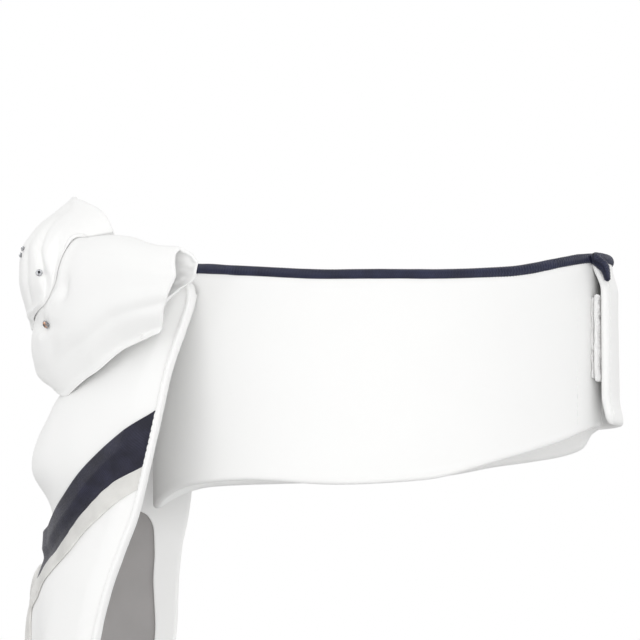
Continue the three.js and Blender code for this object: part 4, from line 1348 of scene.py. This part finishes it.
class STOCK_OT_stage(bpy.types.Operator):
    """Make the floor, the soft light and the camera"""

    bl_idname = "stock.stage"
    bl_label = "Stage"
    bl_options = {"REGISTER", "UNDO"}

    def seen_white(self, tree, lit, output):
        """Lets the surround look white, and light the part by its own shader."""
        seen = tree.nodes.new("ShaderNodeEmission")
        path = tree.nodes.new("ShaderNodeLightPath")
        either = tree.nodes.new("ShaderNodeMixShader")
        tree.links.new(path.outputs["Is Camera Ray"], either.inputs["Fac"])
        tree.links.new(lit, either.inputs[1])
        tree.links.new(seen.outputs["Emission"], either.inputs[2])
        tree.links.new(either.outputs["Shader"], tree.nodes[output].inputs["Surface"])

    def aimed(self, name, data, place, target):
        """A lamp or camera at a place, looking at its target."""
        obj = bpy.data.objects.new(name, data)
        obj.location = place
        obj.rotation_euler = (Vector(target) - Vector(place)).to_track_quat("-Z", "Y").to_euler()
        bpy.context.scene.collection.objects.link(obj)
        return obj

    def execute(self, context):
        settings = settings_of(context)
        scene = context.scene
        scene.view_settings.view_transform = "Standard"
        world = bpy.data.worlds.new("white_surround")
        world.use_nodes = True
        light = world.node_tree.nodes["Background"]
        light.inputs["Color"].default_value = (1, 1, 1, 1)
        light.inputs["Strength"].default_value = settings.sky
        self.seen_white(world.node_tree, light.outputs["Background"], "World Output")
        scene.world = world
        a = np.linspace(0, 2 * math.pi, FLOOR.corners, endpoint=False)
        ring = points_at(FLOOR.radius * np.cos(a), FLOOR.radius * np.sin(a), FLOOR.level)
        floor = new_object("floor", ring, [range(FLOOR.corners)])
        paint = Shader("pale_floor")
        grain = paint.noise(paint.space(), 60, detail=4.0)
        paint.set(
            Base_Color=paint.mix(grain, (0.66, 0.66, 0.66, 1), (0.62, 0.62, 0.62, 1)),
            Roughness=0.9,
        )
        self.seen_white(paint.material.node_tree, paint.surface.outputs["BSDF"], "Material Output")
        floor.data.materials.append(paint.material)
        for row in LAMPS:
            lamp = bpy.data.lights.new(row.name, "AREA")
            lamp.size = row.size
            lamp.energy = settings.key_light * row.share
            self.aimed(row.name, lamp, row.place, LAMP_TARGET)
        data = bpy.data.cameras.new("photo_view")
        data.lens = CAMERA.lens
        data.sensor_width = CAMERA.sensor
        data.clip_start, data.clip_end = 0.05, 50
        bpy.context.scene.camera = self.aimed("photo_view", data, CAMERA.place, CAMERA.target)
        return {"FINISHED"}


class STOCK_OT_band(bpy.types.Operator):
    """Make the tall satin collar band with its rows of stitches"""

    bl_idname = "stock.band"
    bl_label = "Collar band"
    bl_options = {"REGISTER", "UNDO"}

    def execute(self, context):
        settings = settings_of(context)
        band = make_band(settings)
        seams = make_band_stitches()
        place_white(band, settings, "collar_band")
        place_white(seams, settings)
        return {"FINISHED"}


class STOCK_OT_piping(bpy.types.Operator):
    """Make the navy satin cord on the collar's top edge"""

    bl_idname = "stock.piping"
    bl_label = "Piping"
    bl_options = {"REGISTER", "UNDO"}

    def execute(self, context):
        settings = settings_of(context)
        piping = make_piping(settings)
        cloth = ribbed_satin("navy_piping", settings.piping_colour, light=3.2, pitch=0.95, slant=28,
                             depth=0.12)
        place_piece(piping, cloth, "navy_satin", "collar_piping")
        return {"FINISHED"}


class STOCK_OT_closure(bpy.types.Operator):
    """Make the two napped tapes of the closure"""

    bl_idname = "stock.closure"
    bl_label = "Closure tapes"
    bl_options = {"REGISTER", "UNDO"}

    def execute(self, context):
        settings = settings_of(context)
        cloth = napped_tape("napped_tape", settings.tape_colour)
        for row in TAPES:
            base = make_tape(row)
            nap = make_fibres(row)
            place_piece(base, cloth, "closure_tape", row.node)
            place_piece(nap, cloth, "closure_tape")
        return {"FINISHED"}


class STOCK_OT_backing(bpy.types.Operator):
    """Make the bib's backing, whose grey is painted shade for the hollow inside the bib, and the facing
    along its edges
    """

    bl_idname = "stock.backing"
    bl_label = "Bib backing"
    bl_options = {"REGISTER", "UNDO"}

    def execute(self, context):
        settings = settings_of(context)
        backing = make_backing()
        # The backing's grey is painted shade for the hollow inside the bib.
        inside_shade = satin("bib_inside_shade", settings.inside_shade_colour, roughness=0.6, sheen=0.1, cloudy=0.92)
        place_piece(backing, inside_shade, "white_satin", "bib_backing")
        facings = [make_facing(sign, f"facing_{side}") for sign, side in SIDES]
        for facing in facings:
            place_white(facing, settings)
        return {"FINISHED"}


class STOCK_OT_panels(bpy.types.Operator):
    """Make the bib's white panels: the soft upper one and the two that cross below"""

    bl_idname = "stock.panels"
    bl_label = "Bib panels"
    bl_options = {"REGISTER", "UNDO"}

    def execute(self, context):
        settings = settings_of(context)
        panel = make_panel()
        place_white(panel, settings, "bib_upper_panel")
        for sign, side in SIDES:
            wrap = make_wrap(sign, f"wrap_{side}_satin")
            place_white(wrap, settings, f"bib_wrap_{side}")
        return {"FINISHED"}


class STOCK_OT_navy(bpy.types.Operator):
    """Make the two navy satin bands of the V"""

    bl_idname = "stock.navy"
    bl_label = "Navy bands"
    bl_options = {"REGISTER", "UNDO"}

    def execute(self, context):
        settings = settings_of(context)
        cloth = ribbed_satin("navy_band_satin", settings.navy_colour, light=7, pitch=0.8, slant=80,
                             depth=0.05)
        for sign, side in SIDES:
            band = make_navy(sign, f"navy_{side}_satin")
            place_piece(band, cloth, "navy_satin", f"navy_band_{side}")
        return {"FINISHED"}


class STOCK_OT_trims(bpy.types.Operator):
    """Make the silver ribbons under the navy bands"""

    bl_idname = "stock.trims"
    bl_label = "Silver trims"
    bl_options = {"REGISTER", "UNDO"}

    def execute(self, context):
        settings = settings_of(context)
        cloth = satin("silver_ribbon", settings.trim_colour, depth=2.2, roughness=0.34, sheen=0.1,
                      thread=0.5, cloudy=0.8)
        for sign, side in SIDES:
            trim = make_trim(sign, f"trim_{side}_ribbon")
            place_piece(trim, cloth, "silver_trim", f"silver_trim_{side}")
        return {"FINISHED"}


class STOCK_OT_hem(bpy.types.Operator):
    """Make the bib's folded hem and its stitches"""

    bl_idname = "stock.hem"
    bl_label = "Hem"
    bl_options = {"REGISTER", "UNDO"}

    def execute(self, context):
        settings = settings_of(context)
        place_white(make_hem(settings), settings, "bib_edge_binding")
        place_white(make_hem_stitches(), settings)
        return {"FINISHED"}


class STOCK_OT_loops(bpy.types.Operator):
    """Make the knot's two open loops"""

    bl_idname = "stock.loops"
    bl_label = "Knot loops"
    bl_options = {"REGISTER", "UNDO"}

    def execute(self, context):
        settings = settings_of(context)
        for sign, side in SIDES:
            loop = make_lobe(sign, f"loop_{side}_satin", settings)
            place_white(loop, settings, f"knot_lobe_{side}")
        return {"FINISHED"}


class STOCK_OT_centre(bpy.types.Operator):
    """Make the gathered centre of the knot"""

    bl_idname = "stock.centre"
    bl_label = "Knot centre"
    bl_options = {"REGISTER", "UNDO"}

    def execute(self, context):
        settings = settings_of(context)
        centre = make_puff(settings)
        place_white(centre, settings, "knot_puff")
        return {"FINISHED"}


class STOCK_OT_crystals(bpy.types.Operator):
    """Make the cut crystals that are pinned on the knot"""

    bl_idname = "stock.crystals"
    bl_label = "Crystals"
    bl_options = {"REGISTER", "UNDO"}

    def execute(self, context):
        settings = settings_of(context)
        # Painted reflections: each crystal gets bright and dark copies of one material, for its glints and
        # its dark table. The foil cup's grey shades some crown facets.
        cup = facet("foil_cup_and_shade", (0.42, 0.42, 0.44), roughness=0.3)
        clear = facet("crystal_painted_glint", (0.9, 0.92, 0.95)), facet("crystal_painted_dark", (0.05, 0.05, 0.06)), cup
        copper = facet("copper_painted_glint", (0.62, 0.36, 0.24)), facet("copper_painted_dark", (0.05, 0.025, 0.02)), cup
        for row in CRYSTALS:
            materials, slot = clear, "clear_crystal"
            if row.node == "crystal_d":
                materials, slot = copper, "copper_crystal"
            place_piece(make_crystal(row, materials, settings), materials[0], slot, row.node)
        return {"FINISHED"}


OPERATORS = (
    STOCK_OT_stage,
    STOCK_OT_band,
    STOCK_OT_piping,
    STOCK_OT_closure,
    STOCK_OT_backing,
    STOCK_OT_panels,
    STOCK_OT_navy,
    STOCK_OT_trims,
    STOCK_OT_hem,
    STOCK_OT_loops,
    STOCK_OT_centre,
    STOCK_OT_crystals,
)


class STOCK_PT_panel(bpy.types.Panel):
    """The stock's sizes, colours and pieces"""

    bl_label = "Stock cravat"
    bl_idname = "STOCK_PT_panel"
    bl_space_type = "VIEW_3D"
    bl_region_type = "UI"
    bl_category = "Stock"

    def draw(self, context):
        settings = settings_of(context)
        column = self.layout.column()
        for name in StockSettings.__annotations__:
            column.prop(settings, name)
        for operator in OPERATORS:
            column.operator(operator.bl_idname)


CLASSES = (StockSettings, *OPERATORS, STOCK_PT_panel)


def register():
    for found in CLASSES:
        bpy.utils.register_class(found)
    bpy.types.Scene.stock_settings = bpy.props.PointerProperty(type=StockSettings)


def unregister():
    del bpy.types.Scene.stock_settings
    for found in reversed(CLASSES):
        bpy.utils.unregister_class(found)


def main():
    register()
    bpy.ops.stock.stage()
    bpy.ops.stock.band()
    bpy.ops.stock.piping()
    bpy.ops.stock.closure()
    bpy.ops.stock.backing()
    bpy.ops.stock.trims()
    bpy.ops.stock.hem()
    bpy.ops.stock.panels()
    bpy.ops.stock.navy()
    bpy.ops.stock.loops()
    bpy.ops.stock.centre()
    bpy.ops.stock.crystals()


if __name__ == "__main__":
    main()
